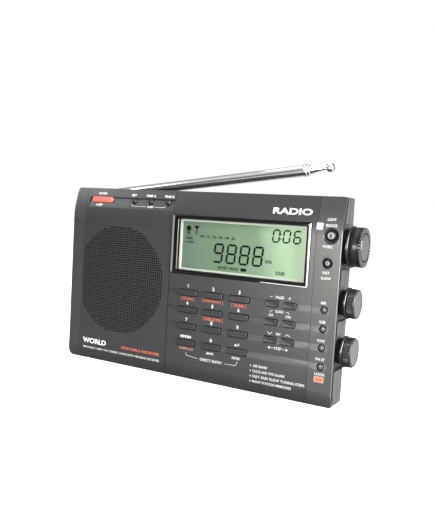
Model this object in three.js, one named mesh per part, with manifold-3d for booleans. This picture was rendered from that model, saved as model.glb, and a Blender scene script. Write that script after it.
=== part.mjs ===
// A portable world-band radio, in millimetres.
// +X is to the listener's right, +Y is towards the back, +Z is up.
// The origin is in the middle of the base, and the radio stands on it.

import * as THREE from 'three';
import { mergeVertices } from 'three/addons/utils/BufferGeometryUtils.js';
import Module from 'manifold-3d';

const wasm = await Module();
wasm.setup();

// ---------------------------------------------------------------- driving sizes

const width = 187;
const height = 114;
const depth = 33;
const wall = 2;
const clearance = 0.3; // between neighbouring pieces

const front = -depth / 2;
const back = depth / 2;
const right = width / 2;
const seam = front + 10.2; // the front and rear shells meet here

const topSweep = { start: 88, setback: 4.9 }; // the front leans away above this level
const bottomSweep = { start: 9, setback: 3.2 }; // and below this one
const cornerRadius = 3;
const frontEdgeRound = 2.4; // on the upright edges of the front
const backChamfer = 4; // along the top and bottom of the back
const taper = { start: 0.5, waist: 2.4, shoulder: 5.4, back: 9.4 }; // the sides narrow behind this depth
const mastShelf = { y: 2.9, z: 107 }; // step along the rear top edge for the folded mast

const panelThickness = 2.2;
const panelEdges = { left: -84, middle: -14, right: 79.3 };
const grooveDepth = 1;

const display = { left: -13, right: 76.2, bottom: 64.2, top: 99.3 };
const displayOpening = { left: -8.4, right: 73.8, bottom: 66.4, top: 97.2 };

const keyRows = [53, 42.7, 32.7, 22.5];
const keyColumns = [0.5, 18, 35.4];
const keySize = [12.6, 3.6];
const smallKeyColumns = [55.8, 66.6];
const smallKeySize = [7.4, 3.5];
const capStandsProud = 0.9;

const presetButtons = { xs: [-45, -32.3, -19.1], z: 106.4, radius: 1.75 };
const powerButton = { x: -71.1, z: 106.5, size: [18, 4.1] };
const stripButtons = [
  { name: 'light_button', x: 87.3, z: 93, radius: 2.7, rim: 4.6, foot: 0 },
  { name: 'mode_button', x: 86.4, z: 78.2, radius: 1.9, rim: 3.1, foot: 0.8 },
  { name: 'air_button', x: 86.4, z: 53.2, radius: 1.5, rim: 2.3, foot: 0.8 },
  { name: 'sideband_button', x: 86.4, z: 42.8, radius: 1.5, rim: 2.3, foot: 0.8 },
  { name: 'sync_button', x: 86.4, z: 32.6, radius: 1.5, rim: 2.3, foot: 0.8 },
  { name: 'stereo_button', x: 86.4, z: 22.3, radius: 1.5, rim: 2.3, foot: 0.8 },
];

const knobAxisY = -1.5;
const knobs = [
  { name: 'tuning_knob', z: 87.4, skirt: 11.5, body: 10.9, end: 102 },
  { name: 'fine_tuning_knob', z: 56.5, skirt: 8.8, body: 8.25, end: 100.4 },
  { name: 'volume_knob', z: 29.7, skirt: 8.9, body: 8.2, end: 100.4 },
];
const pocket = { floor: 91.2, wall: 1, front: -15.4, back: 13 };
const shaftRadius = 3;

const speaker = { x: -53, z: 55.5, radius: 36 };

const stand = { x: -50, halfWidth: 26, bottom: 6, hingeZ: 48, hingeY: 15 };
const door = { left: 4, right: 66, bottom: 6, top: 61, thickness: 1.6 };
const cell = { length: 50.5, radius: 7.1 };

const mast = { x: -85, y: 8.5, z: 110.8, rise: 7.22 };
const mastTubes = { start: 9, end: 148, radii: [3.25, 2.8, 2.35, 1.9, 1.45], wall: 0.25 };

const round = 16; // facets of an ordinary round piece
const fine = 24; // facets of a large round piece
const buttonFacets = 10; // facets of a small round button

// The front surface: flat in the middle, swept back at the top and at the bottom.
function frontAt(z) {
  if (z > topSweep.start) {
    return front + topSweep.setback * ((z - topSweep.start) / (height - topSweep.start)) ** 2;
  }
  if (z < bottomSweep.start) {
    return front + bottomSweep.setback * (1 - z / bottomSweep.start) ** 2;
  }
  return front;
}

// ---------------------------------------------------------------- solids

const basisYZX = new THREE.Matrix4().makeBasis(
  new THREE.Vector3(0, 1, 0),
  new THREE.Vector3(0, 0, 1),
  new THREE.Vector3(1, 0, 0),
);

function solid(geometry) {
  const bare = geometry.clone();
  bare.deleteAttribute('normal');
  bare.deleteAttribute('uv');
  const merged = mergeVertices(bare, 1e-4);
  const index = merged.index.array;
  const corners = [];
  for (let i = 0; i < index.length; i += 3) {
    const [a, b, c] = [index[i], index[i + 1], index[i + 2]];
    if (a !== b && b !== c && c !== a) corners.push(a, b, c);
  }
  const vertProperties = new Float32Array(merged.attributes.position.array);
  const build = (list) => new wasm.Manifold(
    new wasm.Mesh({ numProp: 3, vertProperties, triVerts: new Uint32Array(list) }),
  );
  const shape = build(corners);
  return shape.volume() > 0 ? shape : build(corners.reverse());
}

function geometryOf(shape) {
  const mesh = shape.getMesh();
  const geometry = new THREE.BufferGeometry();
  geometry.setAttribute('position', new THREE.BufferAttribute(new Float32Array(mesh.vertProperties), 3));
  geometry.setIndex(new THREE.BufferAttribute(new Uint32Array(mesh.triVerts), 1));
  geometry.computeVertexNormals();
  return geometry;
}

const outline = (points) => new THREE.Shape(points.map(([a, b]) => new THREE.Vector2(a, b)));

function extruded(shape, length, curveSegments = 4) {
  return new THREE.ExtrudeGeometry(shape, { depth: length, bevelEnabled: false, curveSegments });
}

// Outline in (y, z), stretched along X.
function prismX(points, x0, x1) {
  const geometry = extruded(outline(points), x1 - x0);
  geometry.applyMatrix4(basisYZX);
  geometry.translate(x0, 0, 0);
  return solid(geometry);
}

// Shape in (x, z), stretched along Y.
function prismY(shape, y0, y1, curveSegments = 4) {
  const geometry = extruded(shape, y1 - y0, curveSegments);
  geometry.rotateX(Math.PI / 2);
  geometry.translate(0, y1, 0);
  return solid(geometry);
}

// Outline in (x, y), stretched along Z.
function prismZ(points, z0, z1) {
  const geometry = extruded(outline(points), z1 - z0);
  geometry.translate(0, 0, z0);
  return solid(geometry);
}

function block([x0, x1], [y0, y1], [z0, z1]) {
  const geometry = new THREE.BoxGeometry(x1 - x0, y1 - y0, z1 - z0);
  geometry.translate((x0 + x1) / 2, (y0 + y1) / 2, (z0 + z1) / 2);
  return solid(geometry);
}

// Profile of [distance along the axis, radius] pairs, turned round X, Y or Z.
function turned(profile, axis, segments = round) {
  const geometry = new THREE.LatheGeometry(profile.map(([a, r]) => new THREE.Vector2(r, a)), segments);
  if (axis === 'x') geometry.rotateZ(-Math.PI / 2);
  if (axis === 'z') geometry.rotateX(Math.PI / 2);
  return solid(geometry);
}

const rod = (axis, radius, from, to, segments = round) => (
  turned([[from, 0], [from, radius], [to, radius], [to, 0]], axis, segments)
);

function roundedRect(x, z, w, h, radius) {
  const shape = new THREE.Shape();
  const [l, r, b, t] = [x - w / 2, x + w / 2, z - h / 2, z + h / 2];
  shape.absarc(r - radius, b + radius, radius, -Math.PI / 2, 0);
  shape.absarc(r - radius, t - radius, radius, 0, Math.PI / 2);
  shape.absarc(l + radius, t - radius, radius, Math.PI / 2, Math.PI);
  shape.absarc(l + radius, b + radius, radius, Math.PI, 1.5 * Math.PI);
  return shape;
}

// ---------------------------------------------------------------- finishes

const finish = (color, roughness, metalness = 0) => (
  new THREE.MeshStandardMaterial({ color, roughness, metalness })
);

const finishes = {
  casing: finish('#47484a', 0.55),
  panel: finish('#3d3f42', 0.5),
  bezel: finish('#111214', 0.15),
  lens: finish('#c9d6c2', 0.05),
  lcd: finish('#a7c192', 0.4),
  key: finish('#2b2c2e', 0.45),
  red: finish('#d8554b', 0.35),
  knob: finish('#55575a', 0.4),
  chrome: finish('#dfe1e3', 0.08, 1),
  magnet: finish('#2a2a2c', 0.6),
  cone: finish('#1f1f21', 0.9),
  board: finish('#1f5a3a', 0.5),
  ferrite: finish('#3a3533', 0.7),
  cellWrap: finish('#8a8f3a', 0.3),
};

const radio = new THREE.Group();
radio.name = 'radio';

function add(name, shape, material, parent = radio) {
  const geometry = shape.isBufferGeometry ? shape : geometryOf(shape);
  const mesh = new THREE.Mesh(geometry, material);
  mesh.name = name;
  parent.add(mesh);
  return mesh;
}

// ---------------------------------------------------------------- casing

const sweepLevels = [3, 6, bottomSweep.start, topSweep.start, 93, 98, 103, 108.4];

// The front surface from one level to another, moved back by an offset, as [y, z] points.
function frontLine(from, to, offset) {
  const levels = [from, ...sweepLevels.filter((z) => z > from && z < to), to];
  return levels.map((z) => [frontAt(z) + offset, z]);
}

// The whole casing as one block, drawn in by an inset on every side.
function casing(inset) {
  const side = [
    ...frontLine(inset, height - inset, inset),
    [mastShelf.y - inset, height - inset],
    [mastShelf.y - inset, mastShelf.z - inset],
    [back - inset - backChamfer, mastShelf.z - inset],
    [back - inset, mastShelf.z - inset - backChamfer],
    [back - inset, inset + backChamfer],
    [back - inset - backChamfer, inset],
  ];
  const half = [
    [right - inset - frontEdgeRound, front + inset],
    [right - inset - 0.3 * frontEdgeRound, front + inset + 0.3 * frontEdgeRound],
    [right - inset, front + inset + frontEdgeRound],
    [right - inset, taper.start],
    [right - inset - taper.waist, taper.start + 8],
    [right - inset - taper.shoulder, back - inset - 2.6],
    [right - inset - taper.back, back - inset],
  ];
  const plan = [...half, ...half.map(([x, y]) => [-x, y]).reverse()];
  const face = roundedRect(0, height / 2, width - 2 * inset, height - 2 * inset, cornerRadius);
  return prismX(side, -right - 1, right + 1)
    .intersect(prismZ(plan, -1, height + 1))
    .intersect(prismY(face, front - 1, back + 1));
}

// A knob's pocket in the right side, or the thicker wall round it.
const pocketBlock = (knob, grow) => block(
  [pocket.floor - grow, right + 5],
  [pocket.front - grow, pocket.back + grow],
  [knob.z - knob.skirt - 0.8 - grow, knob.z + knob.skirt + 0.8 + grow],
);

const standRecess = {
  x: [stand.x - stand.halfWidth, stand.x + stand.halfWidth],
  y: [13, back + 1],
  z: [stand.bottom, stand.hingeZ + 3],
};
const standSurround = block(
  [standRecess.x[0] - 4, standRecess.x[1] + 4],
  [standRecess.y[0] - wall, back + 1],
  [stand.bottom - 3, standRecess.z[1] + 3],
);

function hollowCasing() {
  let cavity = casing(wall).subtract(standSurround);
  for (const knob of knobs) cavity = cavity.subtract(pocketBlock(knob, pocket.wall));
  let shell = casing(0).subtract(cavity);
  for (const knob of knobs) {
    shell = shell.subtract(pocketBlock(knob, 0));
    const bore = rod('x', shaftRadius + 0.4, pocket.floor - 5, right, round);
    shell = shell.subtract(bore.translate([0, knobAxisY, knob.z]));
  }
  return shell;
}

const shell = hollowCasing();

// Each row of keys lies in a shallow groove: deep at its upper edge, nothing at its lower one.
function rowGroove(z, x0, x1, rise = 1.9, fall = 1.9, deep = grooveDepth) {
  return prismX([[frontAt(z) - 4, z - fall - 0.01], [frontAt(z - fall), z - fall - 0.01],
    [frontAt(z + rise) + deep, z + rise], [frontAt(z) - 4, z + rise]], x0, x1);
}

function frontShell() {
  const bayProfile = [...frontLine(-1, height + 1, panelThickness + clearance), [front - 5, height + 1],
    [front - 5, -1]];
  const bay = prismX(bayProfile, panelEdges.left, panelEdges.right);
  let piece = shell
    .intersect(block([-right - 1, right + 1], [front - 1, seam - clearance / 2], [-1, height + 1]))
    .subtract(bay);
  for (const z of keyRows) piece = piece.subtract(rowGroove(z, panelEdges.right - 1, 89.6));
  for (const { x, z, radius, rim } of stripButtons) {
    const y = frontAt(z);
    const well = turned([[y - 1, 0], [y - 1, rim + 0.4], [y + 1.3, radius + 0.4], [y + 4, radius + 0.4],
      [y + 4, 0]], 'y', buttonFacets);
    piece = piece.subtract(well.translate([x, 0, z]));
  }
  return piece;
}

const socketY = -2.6;
const earphone = { z: 92, radius: 3.2 };
const power = { z: 76, radius: 3.2 };
const switches = [
  { name: 'gain_switch', z: 52, travel: [-1.6, 1.6] },
  { name: 'tone_switch', z: 34, travel: [0, 3] },
];
const switchCap = { y: 3, z: 4 };

function rearShell() {
  const tray = block([door.left, door.right], [-2.4, back - wall + 0.5], [door.bottom, door.top]);
  const trayHollow = block([door.left + 1.5, door.right - 1.5], [-1, back + 1],
    [door.bottom + 1.5, door.top - 1.5]);
  const doorway = block([door.left, door.right], [back - door.thickness - clearance, back + 1],
    [door.bottom, door.top]);
  const latchNotch = block([(door.left + door.right) / 2 - 4.4, (door.left + door.right) / 2 + 4.4],
    [back - door.thickness - clearance, back + 1], [door.top - 1, door.top + 2.2]);
  let piece = shell
    .intersect(block([-right - 1, right + 1], [seam + clearance / 2, back + 1], [-1, height + 1]))
    .add(tray)
    .subtract(trayHollow)
    .subtract(doorway)
    .subtract(latchNotch)
    .subtract(block(standRecess.x, standRecess.y, standRecess.z));
  const pinBore = rod('x', 1.2, standRecess.x[0] - 2, standRecess.x[1] + 2, 12);
  piece = piece.subtract(pinBore.translate([0, stand.hingeY, stand.hingeZ]));
  const fingerNotch = block([stand.x - 8, stand.x + 8], [standRecess.y[0], back + 1], [stand.bottom - 1.8, 8]);
  piece = piece.subtract(fingerNotch);
  piece = piece.subtract(rod('z', 5.6, 100, 110, round).translate([mast.x, mast.y, 0]));
  for (const { z, radius } of [earphone, power]) {
    const bore = rod('x', radius + clearance, -right - 1, -right + wall + 1, round);
    piece = piece.subtract(bore.translate([0, socketY, z]));
  }
  for (const { z, travel } of switches) {
    const slot = block([-right - 1, -right + wall + 1],
      [socketY - switchCap.y / 2 - clearance, socketY + switchCap.y / 2 + clearance],
      [z + travel[0] - switchCap.z / 2 - clearance, z + travel[1] + switchCap.z / 2 + clearance]);
    piece = piece.subtract(slot);
  }
  for (const x of [-30, 40]) {
    piece = piece.add(block([x - 2, x + 2], [9.3, back - wall + 0.5], [95, 102]));
  }
  return piece;
}

// A front panel: a skin of even thickness that follows the swept front.
function panelSkin(x0, x1) {
  const skin = [...frontLine(0, height, 0), ...frontLine(0, height, panelThickness).reverse()];
  return prismX(skin, x0 + clearance / 2, x1 - clearance / 2);
}

function speakerPanel() {
  const { x, z, size: [w, h] } = powerButton;
  let piece = panelSkin(panelEdges.left, panelEdges.middle);
  piece = piece.subtract(rowGroove(106.5, panelEdges.left - 1, panelEdges.middle + 1, 1.9, 5.1, 1.1));
  piece = piece.subtract(prismY(roundedRect(x, z, w + 0.7, h + 0.7, h / 2 + 0.34), front - 3, front + 9));
  for (const presetX of presetButtons.xs) {
    const hole = rod('y', presetButtons.radius + 0.4, front - 3, front + 9, buttonFacets);
    piece = piece.subtract(hole.translate([presetX, 0, presetButtons.z]));
  }
  return piece;
}

function controlPanel() {
  let piece = panelSkin(panelEdges.middle, panelEdges.right);
  const { left, right: displayRight, bottom, top } = display;
  piece = piece.subtract(block([left - clearance, displayRight + clearance], [front - 3, front + 9],
    [bottom - clearance, top + clearance]));
  for (const z of keyRows) {
    piece = piece.subtract(rowGroove(z, panelEdges.middle - 1, panelEdges.right + 1));
    for (const x of keyColumns) piece = piece.subtract(keyHole(x, z, keySize));
    if (z === keyRows[3]) continue;
    for (const x of smallKeyColumns) piece = piece.subtract(keyHole(x, z, smallKeySize));
  }
  return piece;
}

const keyHole = (x, z, [w, h]) => block(
  [x - w / 2 - clearance, x + w / 2 + clearance],
  [front - 3, front + 9],
  [z - h / 2 - clearance, z + h / 2 + clearance],
);

add('front_shell', frontShell(), finishes.casing);
add('rear_shell', rearShell(), finishes.casing);
add('speaker_panel', speakerPanel(), finishes.panel);
add('control_panel', controlPanel(), finishes.panel);

// ---------------------------------------------------------------- display

function frameShape(outer, inner) {
  const shape = roundedRect((outer.left + outer.right) / 2, (outer.bottom + outer.top) / 2,
    outer.right - outer.left, outer.top - outer.bottom, 1.2);
  const opening = roundedRect((inner.left + inner.right) / 2, (inner.bottom + inner.top) / 2,
    inner.right - inner.left, inner.top - inner.bottom, 0.8);
  shape.holes.push(new THREE.Path(opening.getPoints(3).reverse()));
  return shape;
}

const within = ({ left, right: r, bottom, top }, inset) => (
  { x: [left + inset, r - inset], z: [bottom + inset, top - inset] }
);

const lensSpan = within(displayOpening, clearance);
const lcdSpan = within(displayOpening, -1);

add('display_bezel', prismY(frameShape(display, displayOpening), front - 0.6, front + 2.2, 3), finishes.bezel);
add('display_lens', block(lensSpan.x, [front - 0.2, front + 1], lensSpan.z), finishes.lens);
add('lcd_module', block(lcdSpan.x, [front + 2.6, front + 6.2], lcdSpan.z), finishes.lcd);

// ---------------------------------------------------------------- keys and buttons

// A key cap with a wider foot behind the panel, which stops it falling out.
function keyShape([w, h], crown) {
  const cap = prismY(roundedRect(0, 0, w, h, 0.7), -crown, panelThickness + 0.6, 1);
  const foot = block([-w / 2 - 0.7, w / 2 + 0.7], [panelThickness + 0.4, panelThickness + 1.2],
    [-h / 2 - 0.7, h / 2 + 0.7]);
  return geometryOf(cap.add(foot));
}

const keyGeometry = keyShape(keySize, capStandsProud);
const smallKeyGeometry = keyShape(smallKeySize, capStandsProud);

keyRows.forEach((z, row) => {
  keyColumns.forEach((x, column) => {
    const key = add(`key_${row + 1}_${column + 1}`, keyGeometry, finishes.key);
    key.position.set(x, front, z);
  });
});

keyRows.slice(0, 3).forEach((z, row) => {
  smallKeyColumns.forEach((x, column) => {
    const key = add(`function_key_${row + 1}_${column + 1}`, smallKeyGeometry, finishes.key);
    key.position.set(x, front, z);
  });
});

// A round button: cap through the wall, and a wider foot behind it. Its front stands at y = 0.
function buttonShape(radius, reach, foot) {
  const end = reach + 0.8;
  const cap = [[0, 0], [0, radius - 0.4], [0.4, radius]];
  const base = foot > 0 ? [[reach, radius], [reach, radius + foot], [end, radius + foot]] : [[end, radius]];
  return geometryOf(turned([...cap, ...base, [end, 0]], 'y', buttonFacets));
}

for (const { name, x, z, radius, foot } of stripButtons) {
  const button = add(name, buttonShape(radius, 2.2, foot), finishes.key);
  button.position.set(x, frontAt(z) + 0.3, z);
}

const presetGeometry = buttonShape(presetButtons.radius, 3.4, 0.8);
presetButtons.xs.forEach((x, i) => {
  const button = add(`preset_button_${i + 1}`, presetGeometry, finishes.key);
  button.position.set(x, frontAt(presetButtons.z), presetButtons.z);
});

function powerShape([w, h]) {
  const cap = prismY(roundedRect(0, 0, w, h, h / 2 - 0.01), -capStandsProud, 3.6, 4);
  const foot = prismY(roundedRect(0, 0, w + 1.2, h + 1.2, h / 2), 3.4, 4.2, 2);
  return cap.add(foot);
}

add('power_button', powerShape(powerButton.size), finishes.red)
  .position.set(powerButton.x, frontAt(powerButton.z), powerButton.z);

// ---------------------------------------------------------------- knobs and their encoders

function knobShape({ skirt, body, end }) {
  const base = pocket.floor + 0.6;
  const rim = end - 0.9;
  return turned([
    [83.7, 0], [83.7, shaftRadius], [base, shaftRadius], [base, body - 1.2], [94.2, body - 1.2],
    [94.2, skirt], [95.6, skirt], [95.8, body], [rim, body], [end, body - 0.9], [end, body - 2.4],
    [end - 0.7, body - 3], [end - 0.7, 0],
  ], 'x', fine);
}

for (const knob of knobs) {
  add(knob.name, knobShape(knob), finishes.knob).position.set(0, knobAxisY, knob.z);
}

function encoderBoard() {
  let piece = block([79.6, 81.2], [-7.6, 6], [18, 100]);
  for (const { z } of knobs) {
    piece = piece
      .add(block([81.1, 87.4], [knobAxisY - 5.8, knobAxisY + 5.8], [z - 5.8, z + 5.8]))
      .subtract(rod('x', shaftRadius + clearance, 83, 90, 12).translate([0, knobAxisY, z]));
  }
  return piece;
}

add('encoder_board', encoderBoard(), finishes.board);

// ---------------------------------------------------------------- loudspeaker

const magnet = { radius: 17, back: 9.4 };

// A flange, a wall that tapers back to the magnet, and the flat pole plate inside it.
function speakerBasket() {
  const r = speaker.radius;
  const flange = [[-13.9, r - 2.6], [-13.9, r], [-12.4, r], [-11.2, r - 1.8]];
  const motor = [[0, magnet.radius], [magnet.back, magnet.radius], [magnet.back, 0]];
  const inside = [[-1, 0], [-1, magnet.radius - 3], [-12, r - 3], [-13.9, r - 2.6]];
  return turned([...flange, ...motor, ...inside].reverse(), 'y', fine);
}

function speakerCone() {
  const r = speaker.radius;
  return turned([[-3.6, 0], [-3.9, 8], [-12.6, r - 4.2], [-13.2, r - 4.2], [-4.9, 7.6], [-6.4, 4],
    [-6.8, 0]], 'y', fine);
}

add('speaker_driver', speakerBasket(), finishes.magnet).position.set(speaker.x, 0, speaker.z);
add('speaker_cone', speakerCone(), finishes.cone).position.set(speaker.x, 0, speaker.z);

// ---------------------------------------------------------------- inside

const mainBoard = { x: [-15.5, 77.5], y: [front + 7, front + 8.6], z: [5, 109] };
const aerialRod = { radius: 4, x: [-55, 60], y: 5, z: 98.5 };

add('main_board', block(mainBoard.x, mainBoard.y, mainBoard.z), finishes.board);
add('ferrite_rod', rod('x', aerialRod.radius, ...aerialRod.x), finishes.ferrite)
  .position.set(0, aerialRod.y, aerialRod.z);

function cellShape() {
  const { length, radius } = cell;
  return turned([[0, 0], [0, radius], [length - 1.5, radius], [length - 1.5, 2.6], [length, 2.6],
    [length, 0]], 'z', 12);
}

const cellGeometry = geometryOf(cellShape());
const cellPitch = 2 * cell.radius + 0.4;
for (let i = 0; i < 4; i += 1) {
  const battery = add(`battery_${i + 1}`, cellGeometry, finishes.cellWrap);
  const x = (door.left + door.right) / 2 + (i - 1.5) * cellPitch;
  const upsideDown = i % 2 === 1;
  battery.position.set(x, 6.8, upsideDown ? door.top - 2 : door.bottom + 2);
  if (upsideDown) battery.rotation.x = Math.PI;
}

// ---------------------------------------------------------------- left side

function earphoneJack({ radius }) {
  const x0 = -right - 0.4;
  return turned([[x0 + 14, 0], [x0 + 14, radius], [x0 + 1, radius], [x0, radius - 0.5], [x0, 1.85],
    [x0 + 12, 1.85], [x0 + 12, 0]], 'x', round);
}

function powerJack({ radius }) {
  const x0 = -right - 0.1;
  return turned([[x0 + 13, 0], [x0 + 13, radius], [x0, radius], [x0, 2.8], [x0 + 9, 2.8], [x0 + 9, 0.9],
    [x0 + 1.4, 0.9], [x0 + 1.2, 0.7], [x0 + 1.2, 0]], 'x', round);
}

add('earphone_jack', earphoneJack(earphone), finishes.key).position.set(0, socketY, earphone.z);
add('power_jack', powerJack(power), finishes.key).position.set(0, socketY, power.z);

function switchShape() {
  const { y, z } = switchCap;
  const cap = block([-right - 0.9, -right + wall + 0.6], [-y / 2, y / 2], [-z / 2, z / 2]);
  const foot = block([-right + wall + 0.4, -right + wall + 1.4], [-2.4, 2.4], [-z / 2 - 1, z / 2 + 1]);
  return geometryOf(cap.add(foot));
}

for (const { name, z } of switches) {
  add(name, switchShape(), finishes.key).position.set(0, socketY, z);
}

// ---------------------------------------------------------------- back

function kickstand() {
  const half = stand.halfWidth - 0.5;
  const plate = block([-half, half], [13.5, 15.7], [stand.bottom + 0.5, stand.hingeZ]);
  const barrel = rod('x', 1.45, -half, half, 12);
  const pins = rod('x', 0.85, -half - 1.8, half + 1.8, 12);
  return plate.add(barrel.add(pins).translate([0, stand.hingeY, stand.hingeZ]));
}

function batteryDoor() {
  const middle = (door.left + door.right) / 2;
  const [y0, y1] = [back - door.thickness, back - 0.1];
  const plate = block([door.left + 0.4, door.right - 0.4], [y0, y1], [door.bottom + 0.4, door.top - 0.4]);
  const latch = block([middle - 4, middle + 4], [y0, y1], [door.top - 1, door.top + 1.8]);
  return plate.add(latch);
}

add('kickstand', kickstand(), finishes.casing).position.set(stand.x, 0, 0);
add('battery_door', batteryDoor(), finishes.casing);

// ---------------------------------------------------------------- mast

const mastGroup = new THREE.Group();
mastGroup.position.set(mast.x, mast.y, mast.z);
radio.add(mastGroup);

const cheekGap = 2;

function turret() {
  const shank = turned([[-10, 0], [-10, 4], [-8.4, 4], [-8.4, 5.2], [-4.4, 5.2], [-4.4, 0]], 'z', round);
  const ears = rod('y', 3.5, -3.7, 3.7, round).add(block([-3.5, 3.5], [-3.7, 3.7], [-4.6, 0]));
  const slot = block([-6, 6], [-cheekGap, cheekGap], [-4.3, 6]);
  const pin = rod('y', 1.1, -3.6, 3.6, 12);
  return shank.add(ears.subtract(slot)).add(pin);
}

add('mast_turret', turret(), finishes.chrome, mastGroup);

const mastLine = new THREE.Group();
mastLine.rotation.y = -THREE.MathUtils.degToRad(mast.rise);
mastGroup.add(mastLine);

const tubeFacets = 12;

function tube(outer, start, end, open) {
  const inner = outer - mastTubes.wall;
  return turned([[start, 0], [start, outer], [end, outer], [end, inner], [start + open, inner],
    [start + open, 0]], 'x', tubeFacets);
}

// The lowest tube ends in a flat tongue, which turns on the turret's pin.
function mastBase() {
  const { start, end, radii: [outer] } = mastTubes;
  const tongue = rod('y', 3.1, -1.7, 1.7, round)
    .add(block([0, start + 1], [-1.7, 1.7], [-2.6, 2.6]))
    .subtract(rod('y', 1.4, -3, 3, 12));
  const plug = rod('x', outer - 0.4, start - 2.4, start + 1.2, tubeFacets);
  const collar = turned([[end - 2, outer - 0.2], [end - 2, outer + 0.25], [end, outer + 0.25],
    [end, outer - 0.2], [end - 2, outer - 0.2]], 'x', tubeFacets);
  return tongue.add(plug).add(tube(outer, start, end, 1)).add(collar);
}

add('mast_tube_1', mastBase(), finishes.chrome, mastLine);

mastTubes.radii.slice(1).forEach((outer, i) => {
  const start = mastTubes.start + 2.5 + 1.5 * i;
  add(`mast_tube_${i + 2}`, tube(outer, start, mastTubes.end, 1), finishes.chrome, mastLine);
});

function mastTip() {
  const { end, start } = mastTubes;
  return turned([[start + 10, 0], [start + 10, 1], [end + clearance, 1], [end + clearance, 3], [end + 1.4, 3],
    [end + 1.8, 2.4], [end + 12, 0.7], [end + 12, 2.2], [end + 12.6, 2.65], [end + 15.2, 2.65],
    [end + 15.9, 2.1], [end + 15.9, 0]], 'x', tubeFacets);
}

add('mast_tip', mastTip(), finishes.chrome, mastLine);

export default radio;
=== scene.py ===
# %% [markdown]
# # A portable world-band radio
# The radio stands on its lower edge. A hard charcoal case in two halves carries two front panels, a wide
# green display, rows of small keys, three knobs on its right side and a folding mast along its top.
# The sizes, the joints and the plain shapes are already drawn. Each step of this lesson takes one of those
# pieces and makes the surface that a person would see and touch.

# %% Load the frame
import math

import bmesh
import bpy
from mathutils import Matrix, Vector


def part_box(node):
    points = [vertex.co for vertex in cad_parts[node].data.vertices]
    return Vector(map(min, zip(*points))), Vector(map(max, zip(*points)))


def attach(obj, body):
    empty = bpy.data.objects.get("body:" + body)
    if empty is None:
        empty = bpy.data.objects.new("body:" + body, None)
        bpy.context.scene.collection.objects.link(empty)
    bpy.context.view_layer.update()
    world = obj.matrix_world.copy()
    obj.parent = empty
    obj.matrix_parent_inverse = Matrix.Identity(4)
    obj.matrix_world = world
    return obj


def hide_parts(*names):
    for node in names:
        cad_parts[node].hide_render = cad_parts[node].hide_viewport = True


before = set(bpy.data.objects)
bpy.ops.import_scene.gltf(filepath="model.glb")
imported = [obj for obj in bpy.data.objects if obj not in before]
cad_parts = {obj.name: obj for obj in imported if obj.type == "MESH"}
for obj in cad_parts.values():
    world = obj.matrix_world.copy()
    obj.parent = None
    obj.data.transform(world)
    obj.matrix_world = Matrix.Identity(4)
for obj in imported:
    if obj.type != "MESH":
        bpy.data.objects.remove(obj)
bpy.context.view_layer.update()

MM = 0.001

# %% [markdown]
# The model is in metres, but a radio is easier to think about in millimetres. Everything could be typed in
# metres, with four zeros before each number. Instead, every outline below is in millimetres and is scaled
# once, when it becomes an object. Places come from the boxes of the plain pieces, so they can't drift.

# %% Boxes in millimetres
def box_of(node):
    low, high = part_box(node)
    return low / MM, high / MM


def middle_of(node):
    low, high = box_of(node)
    return (low + high) / 2


case_low, case_high = box_of("front_shell")
back_face = box_of("rear_shell")[1].y
HALF_WIDTH = case_high.x
HEIGHT = case_high.z
FRONT = case_low.y
print("case", round(2 * HALF_WIDTH, 1), "x", round(back_face - FRONT, 1), "x", round(HEIGHT, 1), "mm")

# %% [markdown]
# ## The camera
# A long lens, a third of the way round to the right and a little above the middle of the case, held with a
# slight roll. A camera is often aimed with three angles, or made to track an empty. Here it is built from
# the direction it looks in, because a direction can be read and checked at a glance.

# %% Camera
CAMERA_PLACE = Vector((197.2, -330.1, 99.0))
CAMERA_LOOKS = Vector((-0.492, 0.868, -0.069)).normalized()
CAMERA_ROLL = math.radians(3.38)
CAMERA_LENS = 42.7


def camera_turn(looks, roll):
    level = looks.cross(Vector((0, 0, 1))).normalized()
    upright = level.cross(looks)
    right = level * math.cos(roll) + upright * math.sin(roll)
    return Matrix((right, right.cross(looks), -looks)).transposed()


camera_data = bpy.data.cameras.new("camera")
camera_data.lens = CAMERA_LENS
camera = bpy.data.objects.new("camera", camera_data)
camera.matrix_world = (
    Matrix.Translation(CAMERA_PLACE * MM) @ camera_turn(CAMERA_LOOKS, CAMERA_ROLL).to_4x4()
)
bpy.context.scene.collection.objects.link(camera)
bpy.context.scene.camera = camera
print("camera at", [round(c) for c in CAMERA_PLACE], "mm")

# %% [markdown]
# ## Making meshes
# Almost every moulded piece starts as an outline on paper. Outlines could be drawn as curves and converted,
# but a plain list of points is easier to reason about and to reuse. Three kinds are enough for a radio: an
# arc, a rectangle with round corners, and a smooth line through a few chosen points.

# %% Outlines
def arc(centre, radius, start, end, steps=6):
    """Points on a circle, from one angle to another, in degrees."""
    angles = [math.radians(start + (end - start) * i / steps) for i in range(steps + 1)]
    return [(centre[0] + radius * math.cos(a), centre[1] + radius * math.sin(a)) for a in angles]


def rounded(x0, x1, z0, z1, radius, steps=5):
    """A rectangle with round corners, as a closed outline."""
    radius = max(0.02, min(radius, (x1 - x0) / 2 - 0.01, (z1 - z0) / 2 - 0.01))
    corners = [(x1 - radius, z0 + radius, -90), (x1 - radius, z1 - radius, 0),
               (x0 + radius, z1 - radius, 90), (x0 + radius, z0 + radius, 180)]
    return [p for a, b, turn in corners for p in arc((a, b), radius, turn, turn + 90, steps)]


def eased(points, steps=6):
    """A smooth line through a few chosen points (a Catmull-Rom spline)."""
    ends = [points[0], *points, points[-1]]
    line = []
    for p0, p1, p2, p3 in zip(ends, ends[1:], ends[2:], ends[3:]):
        for i in range(steps):
            t = i / steps
            line.append(tuple(
                0.5 * (2 * b + (c - a) * t + (2 * a - 5 * b + 4 * c - d) * t ** 2
                       + (3 * b - a - 3 * c + d) * t ** 3)
                for a, b, c, d in zip(p0, p1, p2, p3)))
    return [*line, points[-1]]


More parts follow.
